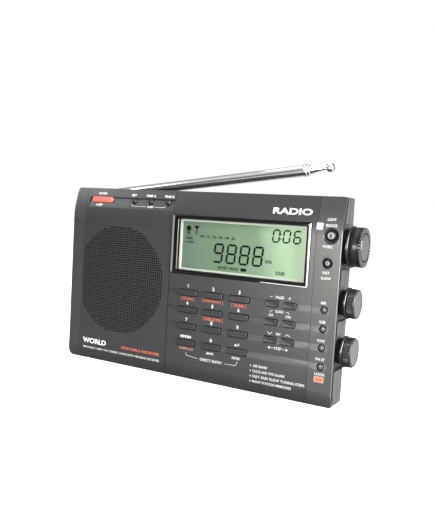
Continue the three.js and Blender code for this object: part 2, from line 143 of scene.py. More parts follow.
print("a rounded rectangle has", len(rounded(0, 10, 0, 4, 1)), "points")

# %% [markdown]
# A maker skins a stack of rings: two equal rings make a prism, and a ring that shrinks to a point closes a
# dome. Each part could instead begin as one of Blender's own cubes or cylinders and be edited from there.
# One function that skins rings covers all of those shapes, and leaves no edit to be repeated by hand.

# %% Skins over rings
def put(axis, a, b, along):
    return {"x": (along, a, b), "y": (a, along, b), "z": (a, b, along)}[axis]


def piece_from(bm, name):
    """Scale a finished mesh to metres and make it an object."""
    bmesh.ops.recalc_face_normals(bm, faces=bm.faces)
    bmesh.ops.scale(bm, vec=(MM, MM, MM), verts=bm.verts)
    mesh = bpy.data.meshes.new(name)
    bm.to_mesh(mesh)
    bm.free()
    piece = bpy.data.objects.new(name, mesh)
    bpy.context.scene.collection.objects.link(piece)
    return piece


def lofted(name, rings, closed=False):
    """Skin a stack of rings that all have the same number of points. A ring may be a single point."""
    bm = bmesh.new()
    stack = [[bm.verts.new(p) for p in ring] for ring in rings]
    pairs = list(zip(stack, stack[1:])) + ([(stack[-1], stack[0])] if closed else [])
    for lower, upper in pairs:
        count = max(len(lower), len(upper))
        for i in range(count):
            j = (i + 1) % count
            if len(lower) == 1:
                bm.faces.new((lower[0], upper[j], upper[i]))
            elif len(upper) == 1:
                bm.faces.new((lower[i], lower[j], upper[0]))
            else:
                bm.faces.new((lower[i], lower[j], upper[j], upper[i]))
    for ring in () if closed else (stack[0], stack[-1]):
        if len(ring) > 2:
            bm.faces.new(ring)
    return piece_from(bm, name)


print("a skin joins every ring to the next one")

# %% [markdown]
# Three ways to get the rings: stretch an outline, stretch a rectangle, or turn a profile round an axis as a
# lathe does. Blender's screw modifier could turn the profile too, but here each ring's radius can also
# ripple with the angle, which is what puts flutes on a knob. A straight rod is the commonest turning.

# %% Prisms, blocks and turnings
ON_THE_AXIS = 1e-6


def prism(name, outline, axis, start, end):
    return lofted(name, [[put(axis, a, b, level) for a, b in outline] for level in (start, end)])


def block(name, xs, ys, zs):
    return prism(name, [(xs[0], ys[0]), (xs[1], ys[0]), (xs[1], ys[1]), (xs[0], ys[1])], "z", *zs)


def turned(name, profile, axis, centre=(0, 0), steps=64, ripple=None, closed=False):
    """Turn (distance, radius) pairs round an axis. ripple(distance, angle) changes a radius."""
    rings = []
    for along, radius in profile:
        if radius < ON_THE_AXIS:
            rings.append([put(axis, *centre, along)])
            continue
        ring = []
        for i in range(steps):
            angle = 2 * math.pi * i / steps
            r = radius + (ripple(along, angle) if ripple else 0)
            ring.append(put(axis, centre[0] + r * math.cos(angle), centre[1] + r * math.sin(angle), along))
        rings.append(ring)
    return lofted(name, rings, closed)


def rod(name, start, end, radius, axis, centre=(0, 0), steps=64):
    return turned(name, [(start, 0), (start, radius), (end, radius), (end, 0)], axis, centre, steps)


print("ways to make a solid: prism, block, turning, rod")

# %% [markdown]
# A mould has cores that keep plastic out of the holes and inserts that add to the walls. The boolean
# modifier does the same with solids. Faces could be bridged by hand round each hole, but that breaks when a
# size changes, and a boolean is simply made again. The exact solver copes with faces that touch.

# %% Cutting and joining
def settle_modifiers(piece):
    """Replace a piece's mesh with what its modifiers make of it."""
    graph = bpy.context.evaluated_depsgraph_get()
    made = bpy.data.meshes.new_from_object(piece.evaluated_get(graph))
    piece.modifiers.clear()
    piece.data = made
    return piece


def combine(piece, other, operation):
    modifier = piece.modifiers.new(operation, "BOOLEAN")
    modifier.operation = operation
    modifier.solver = "EXACT"
    modifier.object = other
    settle_modifiers(piece)
    bpy.data.objects.remove(other)
    return piece


def cut(piece, *others):
    for other in others:
        combine(piece, other, "DIFFERENCE")
    return piece


def add(piece, *others):
    for other in others:
        combine(piece, other, "UNION")
    return piece


def common(piece, other):
    return combine(piece, other, "INTERSECT")


def gathered(name, pieces):
    """Put several separate meshes into one object, without merging them."""
    bm = bmesh.new()
    for piece in pieces:
        bm.from_mesh(piece.data)
        bpy.data.objects.remove(piece)
    bmesh.ops.scale(bm, vec=(1 / MM,) * 3, verts=bm.verts)
    return piece_from(bm, name)


print("solids can be cut, added, shared and gathered")

# %% [markdown]
# No moulded edge is sharp. A bevel of a tenth of a millimetre or so is what makes an edge catch a line of
# light. The face shading is then weighted by area, so that the large flat faces stay flat: plain smooth
# shading would bend the light across them. Adding edge loops by hand would do it too, at far more cost.

# %% Softened edges
FLAT_FACE_WEIGHT = 90


def smooth(piece, angle=38):
    mesh = piece.data
    mesh.polygons.foreach_set("use_smooth", [True] * len(mesh.polygons))
    mesh.set_sharp_from_angle(angle=math.radians(angle))
    return piece


def soften(piece, width, segments=2, angle=32):
    """Break the sharp edges of a moulding, so that they catch the light."""
    modifier = piece.modifiers.new("edges", "BEVEL")
    modifier.width = width * MM
    modifier.segments = segments
    modifier.limit_method = "ANGLE"
    modifier.angle_limit = math.radians(angle)
    smooth(settle_modifiers(piece))
    modifier = piece.modifiers.new("flat faces stay flat", "WEIGHTED_NORMAL")
    modifier.keep_sharp = True
    modifier.weight = FLAT_FACE_WEIGHT
    return settle_modifiers(piece)


print("edges are broken where faces meet at more than 32 degrees")

# %% [markdown]
# ## Finishes
# A hard plastic part is never one flat colour. Its mould is spark-eroded, which leaves a fine grain, and
# hands and sleeves polish it unevenly. Node trees could be wired by hand for each finish. A few short
# helpers make them from a script, so that the wiring is written once and reads like a sentence.

# %% Node group builder
def srgb(code):
    """A screen colour such as "#4b4c4e" as the linear values that a shader wants."""
    parts = [int(code[i:i + 2], 16) / 255 for i in (1, 3, 5)]
    return [p / 12.92 if p <= 0.04045 else ((p + 0.055) / 1.055) ** 2.4 for p in parts] + [1]


def group_of(name, inputs, outputs):
    tree = bpy.data.node_groups.new(name, "ShaderNodeTree")
    for label, default in inputs.items():
        socket = tree.interface.new_socket(label, in_out="INPUT", socket_type="NodeSocketFloat")
        socket.default_value = default
    for label in outputs:
        tree.interface.new_socket(label, in_out="OUTPUT", socket_type="NodeSocketFloat")
    return tree, tree.nodes.new("NodeGroupInput"), tree.nodes.new("NodeGroupOutput")


def maths(tree, operation, first, second=0.0):
    node = tree.nodes.new("ShaderNodeMath")
    node.operation = operation
    for socket, value in zip(node.inputs, (first, second)):
        if hasattr(value, "links"):
            tree.links.new(value, socket)
        else:
            socket.default_value = value
    return node.outputs[0]


def noise(tree, scale, detail, where):
    node = tree.nodes.new("ShaderNodeTexNoise")
    node.inputs["Detail"].default_value = detail
    tree.links.new(where, node.inputs["Vector"])
    if hasattr(scale, "links"):
        tree.links.new(scale, node.inputs["Scale"])
    else:
        node.inputs["Scale"].default_value = scale
    return node.outputs["Fac"]


def colour_ramp(tree, fac, stops):
    """A ramp through (position, linear colour) stops."""
    ramp = tree.nodes.new("ShaderNodeValToRGB")
    while len(ramp.color_ramp.elements) < len(stops):
        ramp.color_ramp.elements.new(0.5)
    for element, (position, colour) in zip(ramp.color_ramp.elements, stops):
        element.position = position
        element.color = colour
    tree.links.new(fac, ramp.inputs["Fac"])
    return ramp.outputs["Color"]


def bumpy(tree, shader, height, strength, distance):
    bump = tree.nodes.new("ShaderNodeBump")
    bump.inputs["Strength"].default_value = strength
    bump.inputs["Distance"].default_value = distance
    tree.links.new(height, bump.inputs["Height"])
    tree.links.new(bump.outputs["Normal"], shader.inputs["Normal"])


print("mid grey as a linear value:", round(srgb("#808080")[0], 3))

# %% [markdown]
# The grain of a spark-eroded mould is a field of tiny pits under a finer noise. It could be carved into the
# mesh or painted in an image, but it is the same everywhere and far too small for either. A Voronoi texture
# and a noise texture give its height, in one node group that every moulding shares.

# %% Moulded grain
def moulded_grain():
    tree, given, made = group_of(
        "moulded_grain", {"Scale": 2600.0, "Depth": 1.0},
        ["Height", "Fleck"])
    place = tree.nodes.new("ShaderNodeTexCoord").outputs["Object"]
    pits = tree.nodes.new("ShaderNodeTexVoronoi")
    tree.links.new(place, pits.inputs["Vector"])
    tree.links.new(given.outputs["Scale"], pits.inputs["Scale"])
    fine = noise(tree, given.outputs["Scale"], 3, place)
    height = maths(tree, "ADD", maths(tree, "MULTIPLY", pits.outputs["Distance"], 0.6), fine)
    tree.links.new(maths(tree, "MULTIPLY", height, given.outputs["Depth"]), made.inputs["Height"])
    tree.links.new(fine, made.inputs["Fleck"])
    return tree


GRAIN = moulded_grain()
print("shared node group:", GRAIN.name)

# %% [markdown]
# Fingers polish a case unevenly: its gloss drifts in broad patches and in faint upright streaks. A single
# roughness would look like a rendering, and a painted mask would need an image. Two noises, squeezed along
# the height, give a smear between 0 and 1 that moves the gloss a little and blends two close shades.

# %% Handling marks
def handling_marks():
    tree, given, made = group_of(
        "handling_marks", {"Base": 0.45, "Spread": 0.1},
        ["Roughness", "Smear"])
    place = tree.nodes.new("ShaderNodeTexCoord").outputs["Object"]
    stretch = tree.nodes.new("ShaderNodeMapping")
    stretch.inputs["Scale"].default_value = (1, 1, 0.35)
    tree.links.new(place, stretch.inputs["Vector"])
    broad = noise(tree, 38, 4, stretch.outputs["Vector"])
    streaks = noise(tree, 240, 2, stretch.outputs["Vector"])
    smear = maths(tree, "ADD", maths(tree, "MULTIPLY", broad, 0.75), maths(tree, "MULTIPLY", streaks, 0.25))
    centred = maths(tree, "SUBTRACT", smear, 0.5)
    wobble = maths(tree, "MULTIPLY", centred, given.outputs["Spread"])
    tree.links.new(maths(tree, "ADD", given.outputs["Base"], wobble), made.inputs["Roughness"])
    tree.links.new(smear, made.inputs["Smear"])
    return tree


MARKS = handling_marks()
print("shared node group:", MARKS.name)

# %% [markdown]
# Every moulding of the radio is the same material with other numbers: two close shades, a gloss, a grain
# and how deep the grain is. A material could be copied and changed for each finish, but then one idea lives
# in twenty places. A function keeps it in one, and the plain values go straight onto the shader.

# %% A moulded plastic
GRAIN_HEIGHT = 0.05 * MM


def blank_material(name, **constants):
    material = bpy.data.materials.new(name)
    material.use_nodes = True
    shader = material.node_tree.nodes["Principled BSDF"]
    for label, value in constants.items():
        shader.inputs[label.replace("_", " ")].default_value = value
    return material, material.node_tree, shader


def placed(tree, group, **values):
    node = tree.nodes.new("ShaderNodeGroup")
    node.node_tree = group
    for label, value in values.items():
        node.inputs[label].default_value = value
    return node


def mixed(tree, factor, first, second):
    """Blend two colours, each of them a fixed colour or another node's output."""
    node = tree.nodes.new("ShaderNodeMix")
    node.data_type = "RGBA"
    tree.links.new(factor, node.inputs["Factor"])
    for label, value in (("A", first), ("B", second)):
        if hasattr(value, "links"):
            tree.links.new(value, node.inputs[label])
        else:
            node.inputs[label].default_value = value
    return node.outputs["Result"]


def plastic(name, dark, light, rough, grain=2600.0, depth=0.25, spread=0.12, **constants):
    """A moulding: two close shades, an uneven gloss and a fine texture in the surface."""
    material, tree, shader = blank_material(name, **constants)
    texture = placed(tree, GRAIN, Scale=grain)
    marks = placed(tree, MARKS, Base=rough, Spread=spread)
    shade = mixed(tree, marks.outputs["Smear"], srgb(dark), srgb(light))
    tree.links.new(shade, shader.inputs["Base Color"])
    tree.links.new(marks.outputs["Roughness"], shader.inputs["Roughness"])
    bumpy(tree, shader, texture.outputs["Height"], depth, GRAIN_HEIGHT)
    return material


print("grain stands at most", GRAIN_HEIGHT / MM, "mm high")

# %% [markdown]
# The case is a dark warm grey, the panels are a touch bluer and glossier, the keys are nearly black and the
# power button is a faded orange red. Inks are plastics too, with hardly any grain. The finishes stand in one
# table, because shades that sit side by side on the radio are best chosen side by side.

# %% The table of finishes
FINISH = {
    "casing": plastic("casing_charcoal", "#2a2b2b", "#313232", 0.37),
    "panel": plastic("panel_charcoal", "#242628", "#2a2c2e", 0.32),
    "bezel": plastic("bezel_polished_black", "#080809", "#0c0c0d", 0.12, depth=0.02, spread=0.05,
                     Specular_IOR_Level=0.3),
    # The next two finishes are painted highlights: pale strips that stand in for the light caught on the
    # bezel's rounded edges.
    "painted_highlight": plastic("painted_highlight_silver", "#c4c4c3", "#d6d6d5", 0.3, depth=0.05, Metallic=0.2),
    "dim_painted_highlight": plastic("painted_highlight_grey", "#5d5e60", "#6b6c6e", 0.35, depth=0.05),
    "frame": plastic("display_frame_white", "#a9b0a6", "#b9c0b5", 0.45, depth=0.05),
    "key": plastic("key_black", "#131416", "#191a1c", 0.38, grain=3400.0, depth=0.15),
    "dome": plastic("button_grey", "#4c4d4d", "#585959", 0.3, depth=0.1),
    "pale_ring": plastic("ring_pale", "#8a8b89", "#9b9c9a", 0.35, depth=0.05),
    "red": plastic("power_red", "#b3584c", "#bf655a", 0.42, depth=0.06, Specular_IOR_Level=0.3),
    "knob": plastic("knob_grey", "#181919", "#1e1f1f", 0.3, grain=3000.0, depth=0.12,
                    Specular_IOR_Level=0.35),
    "knob_face": plastic("knob_face_grey", "#343534", "#3e3f3d", 0.36, depth=0.1),
    "dish": plastic("knob_dish_grey", "#303131", "#383939", 0.33, depth=0.1),
    "knob_skirt": plastic("knob_skirt_black", "#171718", "#1e1e1f", 0.3, depth=0.08),
    # A black with no gloss: painted shade, laid into the seams along the front's edges.
    "gap": plastic("painted_shade_black", "#020202", "#040404", 0.9, depth=0.05, Specular_IOR_Level=0.0),
    "socket": plastic("socket_black", "#121213", "#19191a", 0.35, depth=0.1),
    "steel": plastic("screw_steel", "#77787a", "#8b8c8e", 0.32, depth=0.08, Metallic=1.0),
    "white_ink": plastic("ink_white", "#cfd0ce", "#dcdddb", 0.5, depth=0.05),
    "grey_ink": plastic("ink_grey", "#b4b5b3", "#c4c5c3", 0.5, depth=0.05),
    "orange_ink": plastic("ink_orange", "#a94b35", "#b5583e", 0.5, depth=0.05),
    "badge_border": plastic("ink_badge_border", "#a87c62", "#b4886e", 0.5, depth=0.05),
    "rose_ink": plastic("ink_rose", "#8f5f5c", "#9c6a66", 0.5, depth=0.05),
}
print("finishes so far:", len(FINISH))

# %% [markdown]
# The mast is brass tube under bright chrome. A metal shows almost nothing but what it reflects, so Metallic
# is 1 and the tint is close to white. It could be a perfect mirror, but plate that has been handled never
# is: a trace of the same handling marks breaks the reflections up, which is what makes them look real.

# %% Chrome plate
def chrome():
    """Bright plate over brass: almost no texture, only the faint lines that the drawing die leaves."""
    material, tree, shader = blank_material("chrome_plate", Metallic=1.0)
    marks = placed(tree, MARKS, Base=0.1, Spread=0.07)
    tint = mixed(tree, marks.outputs["Smear"], srgb("#d9dadb"), srgb("#ececec"))
    tree.links.new(tint, shader.inputs["Base Color"])
    tree.links.new(marks.outputs["Roughness"], shader.inputs["Roughness"])
    fine = placed(tree, GRAIN, Scale=900.0)
    bumpy(tree, shader, fine.outputs["Height"], 0.04, 0.04 * MM)
    return material


FINISH["chrome"] = chrome()
print("finishes with chrome:", len(FINISH))

# %% [markdown]
# Every finished piece has to know its finish, the moving body that carries it, and the plain piece that it
# stands for. Those lines could be written out after each piece, but they would bury the modelling. One
# function settles a piece, and each step below ends with a call of it.

# %% Settling a piece
def finish_piece(piece, finish, body, slot, *nodes):
    """Give a piece its material, its body and the plain pieces it stands for. The slot argument is not used.
    """
    piece.data.materials.clear()
    piece.data.materials.append(FINISH[finish])
    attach(piece, body)
    if nodes:
        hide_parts(*nodes)
    return piece


# %% [markdown]
# ## The case
# The front of the case is flat in the middle, leans back along its top and tucks in along its bottom. It
# could be a sculpted surface, but every panel, key and legend has to follow it. So it is one small function
# of the height, and anything that lies on the front asks that function how deep to be.

# %% The swept front
WALL = 2.0
TOP_SWEEP = (88.0, 4.9)      # starts at this height, and leans back this much at the top
BOTTOM_SWEEP = (9.0, 3.2)    # starts at this height, and tucks in this much at the bottom
SHELF_Y, SHELF_Z = 2.9, 107.0
BACK_ROUND = 4.0


def front_at(z):
    start, setback = TOP_SWEEP
    if z > start:
        return FRONT + setback * ((z - start) / (HEIGHT - start)) ** 2
    start, setback = BOTTOM_SWEEP
    if z < start:
        return FRONT + setback * (1 - z / start) ** 2
    return FRONT


SWEEP_LEVELS = [1, 2, 3.5, 5, 7, 9, 88, 90, 92, 94, 96, 98, 100, 101.4, 103, 104.5, 106, 108.4, 110, 112]


def front_line(low, high, offset):
    levels = [low, *[z for z in SWEEP_LEVELS if low < z < high], high]
    return [(front_at(z) + offset, z) for z in levels]


def front_band(low, high, near, far):
    """The outline of a skin that follows the front, between two depths behind it."""
    return [*front_line(low, high, near), *reversed(front_line(low, high, far))]


print("the top leans back", TOP_SWEEP[1], "mm and the bottom tucks in", BOTTOM_SWEEP[1], "mm")

# %% [markdown]
# A case could be a box that is bevelled and bent into shape. But its side view, its plan and its face are
# each one simple outline, and the volume that the three stretched outlines share has every corner right at
# once. Drawn again a wall thickness smaller, the same three outlines are its hollow.

# %% The case as one volume
TAPER = [(0, 0.5), (2.4, 8.5), (5.4, 13.9), (9.4, 16.5)]   # (narrower by, at this depth)
EDGE_ROUND = 1.0      # on the upright edges of the front
CORNER_ROUND = 1.8


def case_volume(name, inset):
    top, rear = HEIGHT - inset, back_face - inset
    shelf = SHELF_Z - inset
    side = [*front_line(inset, top, inset), (SHELF_Y - inset, top), (SHELF_Y - inset, shelf),
            *arc((rear - BACK_ROUND, shelf - BACK_ROUND), BACK_ROUND, 90, 0),
            *arc((rear - BACK_ROUND, inset + BACK_ROUND), BACK_ROUND, 0, -90)]
    edge = HALF_WIDTH - inset
    half = [*arc((edge - EDGE_ROUND, FRONT + inset + EDGE_ROUND), EDGE_ROUND, -90, 0),
            *[(edge - narrower, y if y < 16 else rear) for narrower, y in eased(TAPER)]]
    plan = half + [(-x, y) for x, y in reversed(half)]
    face = rounded(-edge, edge, inset, top, CORNER_ROUND, 8)
    volume = prism(name, side, "x", -edge - 2, edge + 2)
    common(volume, prism("plan", plan, "z", -1, HEIGHT + 1))
    return common(volume, prism("face", face, "y", FRONT - 1, back_face + 1))


print("the case narrows towards its back by", TAPER[-1][0], "mm on each side")

# %% [markdown]
# The knobs sit in square pockets in the right side, so the hollow keeps clear of a wall round each pocket,
# and of a wall round the recess of the kickstand. A solidify modifier could make a shell of even thickness,
# but it can't leave such walls. Cutting a hollow from the whole gives both.

# %% Hollow the case
KNOBS = {"tuning_knob": "tuning", "fine_tuning_knob": "fine_tuning", "volume_knob": "volume"}
POCKET_FLOOR, POCKET_FRONT, POCKET_BACK = 91.2, -15.4, 13.0
KNOB_AXIS_Y = middle_of("tuning_knob").y
stand_low, stand_high = box_of("kickstand")
stand_middle = (stand_low.x + stand_high.x) / 2
RECESS = ((stand_middle - 26, stand_middle + 26), (13.0, back_face + 1), (6.0, 51.0))


def pocket(node, grow, radius):
    low, high = box_of(node)
    room = 0.8 + grow
    outline = rounded(POCKET_FRONT - grow, POCKET_BACK + grow, low.z - room, high.z + room, radius)
    return prism("pocket", outline, "x", POCKET_FLOOR - grow, HALF_WIDTH + 5)


hollow = case_volume("hollow", WALL)
cut(hollow, block("surround", (RECESS[0][0] - 4, RECESS[0][1] + 4), (RECESS[1][0] - WALL, back_face + 1),
                  (3, RECESS[2][1] + 3)))
cut(hollow, *[pocket(node, 1.0, 1.4) for node in KNOBS])
shell = cut(case_volume("shell", 0), hollow)
for node in KNOBS:
    cut(shell, pocket(node, 0, 1.2))
    cut(shell, rod("bore", 80, 95, 3.4, "x", (KNOB_AXIS_Y, middle_of(node).z), 40))
print("hollow case:", len(shell.data.polygons), "faces")

# %% [markdown]
# ### Front half
# On the real radio the front half is one moulding: a long bay for the two panels, and a right strip with
# shallow grooves that run on from the key rows and a conical well for each round button. Each of those could
# be modelled into the surface. As cutters they stay apart from it, and can be moved until they are right.

# %% Grooves and wells
SEAM = -6.3
SEAM_GAP = 0.15         # each half stops this far short of the seam
PANEL_DEPTH = 2.2
PANEL_EDGES = (-84.0, -14.0, 79.3)
KEY_ROWS = [middle_of(f"key_{row}_1").z for row in (1, 2, 3, 4)]
STRIP_BUTTONS = {
    "light_button": ("light", 4.6), "mode_button": ("mode", 3.1), "air_button": ("air", 2.3),
    "sideband_button": ("sideband", 2.3), "sync_button": ("sync", 2.3), "stereo_button": ("stereo", 2.3),
}


def row_groove(z, x0, x1, rise=1.7, fall=1.9, deep=0.7):
    """Deep at its upper edge and nothing at its lower one, so that light lies on its slope."""
    outline = [(front_at(z) - 4, z - fall), (front_at(z - fall) - 0.01, z - fall),
               (front_at(z + rise) + deep, z + rise), (front_at(z) - 4, z + rise)]
    return prism("groove", outline, "x", x0, x1)


def copy_of(piece, name):
    double = bpy.data.objects.new(name, piece.data.copy())
    bpy.context.scene.collection.objects.link(double)
    return double


def button_well(node, rim):
    """A conical dish round the hole of a button. Only the largest button fills its hole with its foot."""
    low, high = box_of(node)
    middle = (low + high) / 2
    foot = (high.z - low.z) / 2
    hole = foot if node == "light_button" else foot - 0.8
    y = front_at(middle.z)
    well = [(y - 1, 0), (y - 1, rim + 0.5), (y, rim), (y + 0.25, rim - 0.15), (y + 1.3, hole + 0.4),
            (y + 4, hole + 0.4), (y + 4, 0)]
    return turned("well", well, "y", (middle.x, middle.z), 48)


print("key rows:", len(KEY_ROWS), "strip buttons:", len(STRIP_BUTTONS))

# %% [markdown]
# The front half is the part of the case before the seam, less the bay, the grooves and the wells. A narrow
# groove along its left and right edges holds a black strip. This is painted shade, standing in for the dark
# of a real seam, where hardly any light comes back out. A darker colour alone would still shine where a lamp
# grazes it.

# %% Front shell
front_shell = copy_of(shell, "case_front")
common(front_shell, block("front_half", (-99, 99), (FRONT - 1, SEAM - SEAM_GAP), (-1, HEIGHT + 1)))
bay_outline = [*front_line(-1, HEIGHT + 1, PANEL_DEPTH + 0.3), (FRONT - 5, HEIGHT + 1), (FRONT - 5, -1)]
cut(front_shell, prism("bay", bay_outline, "x", PANEL_EDGES[0], PANEL_EDGES[2]))
cut(front_shell, *[row_groove(z, PANEL_EDGES[2] - 1, 89.6) for z in KEY_ROWS])
cut(front_shell, *[button_well(node, rim) for node, (body, rim) in STRIP_BUTTONS.items()])
for side in (-1, 1):
    near, far = sorted((side * (HALF_WIDTH - 0.9), side * (HALF_WIDTH + 1)))
    cut(front_shell, prism("edge_line", front_band(3, HEIGHT + 1, 1.0, 2.9), "x", near, far))
soften(front_shell, 0.16)
finish_piece(front_shell, "casing", "case", "casing", "front_shell")
# Black strips in the edge grooves: painted shade for the inside of the seam.
for side, name in ((-1, "left"), (1, "right")):
    near, far = sorted((side * (HALF_WIDTH - 0.85), side * (HALF_WIDTH - 0.5)))
    strip = prism("shadow_gap_" + name, front_band(4, HEIGHT - 1.3, 1.1, 2.8), "x", near, far)
    finish_piece(strip, "gap", "case", "casing")
print("front shell:", len(front_shell.data.polygons), "faces")

# %% [markdown]
# ### Rear half
# The rear half holds the battery tray, the recess of the kickstand, the sockets and switches in the left
# side and the turret of the mast. Each opening could be a separate lid or plate. On a moulding they are all
# one surface, so they are cut from it: first the large openings in the back.

# %% Rear shell
door_low, door_high = box_of("battery_door")
DOOR = (door_low.x - 0.4, door_high.x + 0.4, door_low.z - 0.4, 61.0)
DOOR_FLOOR = back_face - 1.9
LATCH_X = (DOOR[0] + DOOR[1]) / 2
HINGE = (15.0, 48.0)          # the kickstand's hinge line


def from_behind(name, outline, floor):
    return prism(name, outline, "y", floor, back_face + 1)


rear_shell = copy_of(shell, "case_rear")
bpy.data.objects.remove(shell)
common(rear_shell, block("rear_half", (-99, 99), (SEAM + SEAM_GAP, back_face + 1), (-1, HEIGHT + 1)))
add(rear_shell, block("tray", DOOR[:2], (-2.4, back_face - 1.5), DOOR[2:]))
cut(rear_shell, block("tray_hollow", (DOOR[0] + 1.5, DOOR[1] - 1.5), (-1, back_face + 1),
                      (DOOR[2] + 1.5, DOOR[3] - 1.5)))
cut(rear_shell, from_behind("doorway", rounded(*DOOR, 0.5), DOOR_FLOOR))
latch_notch = rounded(LATCH_X - 4.4, LATCH_X + 4.4, DOOR[3] - 2, DOOR[3] + 2.2, 0.8)
cut(rear_shell, from_behind("latch_notch", latch_notch, DOOR_FLOOR))
cut(rear_shell, from_behind("recess", rounded(*RECESS[0], *RECESS[2], 2.4), RECESS[1][0]))
finger_notch = rounded(stand_middle - 8, stand_middle + 8, 4.2, 9, 1.6)
cut(rear_shell, from_behind("finger_notch", finger_notch, RECESS[1][0]))
cut(rear_shell, rod("pin_bore", RECESS[0][0] - 2, RECESS[0][1] + 2, 1.2, "x", HINGE, 24))
print("rear shell with its tray:", len(rear_shell.data.polygons), "faces")

# %% [markdown]
# Then come the small openings: the turret's bore in the shelf, two round sockets and two switch slots in the
# left side, a well for each screw, and the ribs of the back. A rib could be a bump in the material, but the
# edge of the back would stay smooth, so each one is a real groove.

# %% Bores, slots and ribs
SOCKETS = {"earphone_jack": 3.5, "power_jack": 3.5}
SWITCHES = {"gain_switch": ("gain", -1.6, 1.6), "tone_switch": ("tone", 0.0, 3.0)}
SCREWS = [(-74, 96), (74, 96), (-80, 9.5), (77, 9.5)]
RIB_PITCH, RIB_COUNT = 2.6, 9
mast_x, mast_y = -85.0, 8.5

cut(rear_shell, rod("turret_bore", 100, 110, 5.6, "z", (mast_x, mast_y)))
for node, radius in SOCKETS.items():
    middle = middle_of(node)
    cut(rear_shell, rod("socket_bore", -96, -90.5, radius, "x", (middle.y, middle.z), 48))
for node, (body, down, up) in SWITCHES.items():
    middle = middle_of(node)
    slot = rounded(middle.y - 1.8, middle.y + 1.8, middle.z + down - 2.3, middle.z + up + 2.3, 0.5, 3)
    cut(rear_shell, prism("switch_slot", slot, "x", -96, -90.5))
    plate = rounded(middle.y - 3, middle.y + 3, middle.z + down - 3.6, middle.z + up + 3.6, 1.0, 4)
    cut(rear_shell, prism("switch_dish", plate, "x", -96, -HALF_WIDTH + 0.5))
for x, z in SCREWS:
    cut(rear_shell, turned("screw_well", [(14.9, 0), (14.9, 2.6), (18, 2.9), (18, 0)], "y", (x, z), 40))
for i in range(RIB_COUNT):
    z = 70 + RIB_PITCH * i
    cut(rear_shell, from_behind("rib_groove", rounded(-30, 30, z - 0.45, z + 0.45, 0.45, 4), back_face - 0.5))
soften(rear_shell, 0.22)
finish_piece(rear_shell, "casing", "case", "casing", "rear_shell")
print("rear shell:", len(rear_shell.data.polygons), "faces")

# %% [markdown]
# ## Speaker panel
# Some 1,700 small holes let the sound out. Cutting them one by one with booleans would take minutes and
# leave poor faces, and a picture of holes would be flat. So the panel is woven as a grid: a cell inside the
# circle is a square frame round an eight-sided hole, any other cell is plain, and all share their corners.

# %% The perforated grid
SPEAKER_X, SPEAKER_Z = middle_of("speaker_cone").x, middle_of("speaker_cone").z
FIELD_RADIUS = 34.6
PITCH = 1.45
HOLE = 0.57
STRIP_LOW, STRIP_HIGH, STRIP_DEEP = 101.4, 108.4, 1.1


def grid_lines(low, high, middle, reach, extra=()):
    """Cell edges on the hole pitch inside the field, and a few chosen ones outside it."""
    count = math.ceil(reach / PITCH)
    fine = [middle + (i + 0.5) * PITCH for i in range(-count - 1, count + 1)]
    inside = [v for v in fine if low + 0.3 < v < high - 0.3]
    outside = [v for v in extra if low < v < high and (v < inside[0] - 0.3 or v > inside[-1] + 0.3)]
    return sorted({low, high, *inside, *outside})


def perforated_panel(name, x0, x1):
    bm = bmesh.new()
    xs = grid_lines(x0, x1, SPEAKER_X, FIELD_RADIUS)
    zs = grid_lines(0, HEIGHT, SPEAKER_Z, FIELD_RADIUS, SWEEP_LEVELS)
    known = {}

    def corner(x, z, behind):
        key = (round(x, 4), round(z, 4), behind)
        if key not in known:
            known[key] = bm.verts.new((x, front_at(z) + (PANEL_DEPTH if behind else 0), z))
        return known[key]

    for left, right in zip(xs, xs[1:]):
        for low, high in zip(zs, zs[1:]):
            x, z = (left + right) / 2, (low + high) / 2
            square = [(left, low), (x, low), (right, low), (right, z), (right, high), (x, high), (left, high),
                      (left, z)]
            away = math.hypot(x - SPEAKER_X, z - SPEAKER_Z)
            whole = abs(right - left - PITCH) < 0.01 and abs(high - low - PITCH) < 0.01
            if away > FIELD_RADIUS or not whole:
                for behind in (False, True):
                    bm.faces.new([corner(a, b, behind) for a, b in square])
                continue
            spin = [math.atan2(b - z, a - x) for a, b in square]
            rings = [[bm.verts.new((x + HOLE * math.cos(t), front_at(z) + (PANEL_DEPTH if behind else 0),
                                    z + HOLE * math.sin(t))) for t in spin] for behind in (False, True)]
            for i in range(8):
                j = (i + 1) % 8
                for behind in (False, True):
                    bm.faces.new([corner(*square[i], behind), corner(*square[j], behind), rings[behind][j],
                                  rings[behind][i]])
                bm.faces.new([rings[0][i], rings[0][j], rings[1][j], rings[1][i]])
    edges = [e for e in bm.edges if len(e.link_faces) == 1]
    bmesh.ops.bridge_loops(bm, edges=edges)
    return piece_from(bm, name)


speaker_low, speaker_high = box_of("speaker_panel")
speaker_panel = perforated_panel("speaker_panel_perforated", speaker_low.x, speaker_high.x)
print("perforated panel:", len(speaker_panel.data.polygons), "faces")

# %% [markdown]
# The strip along the top of the panel is sunk: deepest under its upper edge, where it throws a shadow, and
# level with the panel at its lower edge. It could be a separate part laid in a slot, but on the real panel
# it is the same moulding, so it is cut in. The power button and three round buttons come through it.

# %% The button strip
POWER_LOW, POWER_HIGH = box_of("power_button")
PRESETS = {f"preset_button_{i}": f"preset_{i}" for i in (1, 2, 3)}
PRESET_RADIUS = 1.75
THROUGH = (FRONT - 3, FRONT + 9)      # from before the front to behind the panels

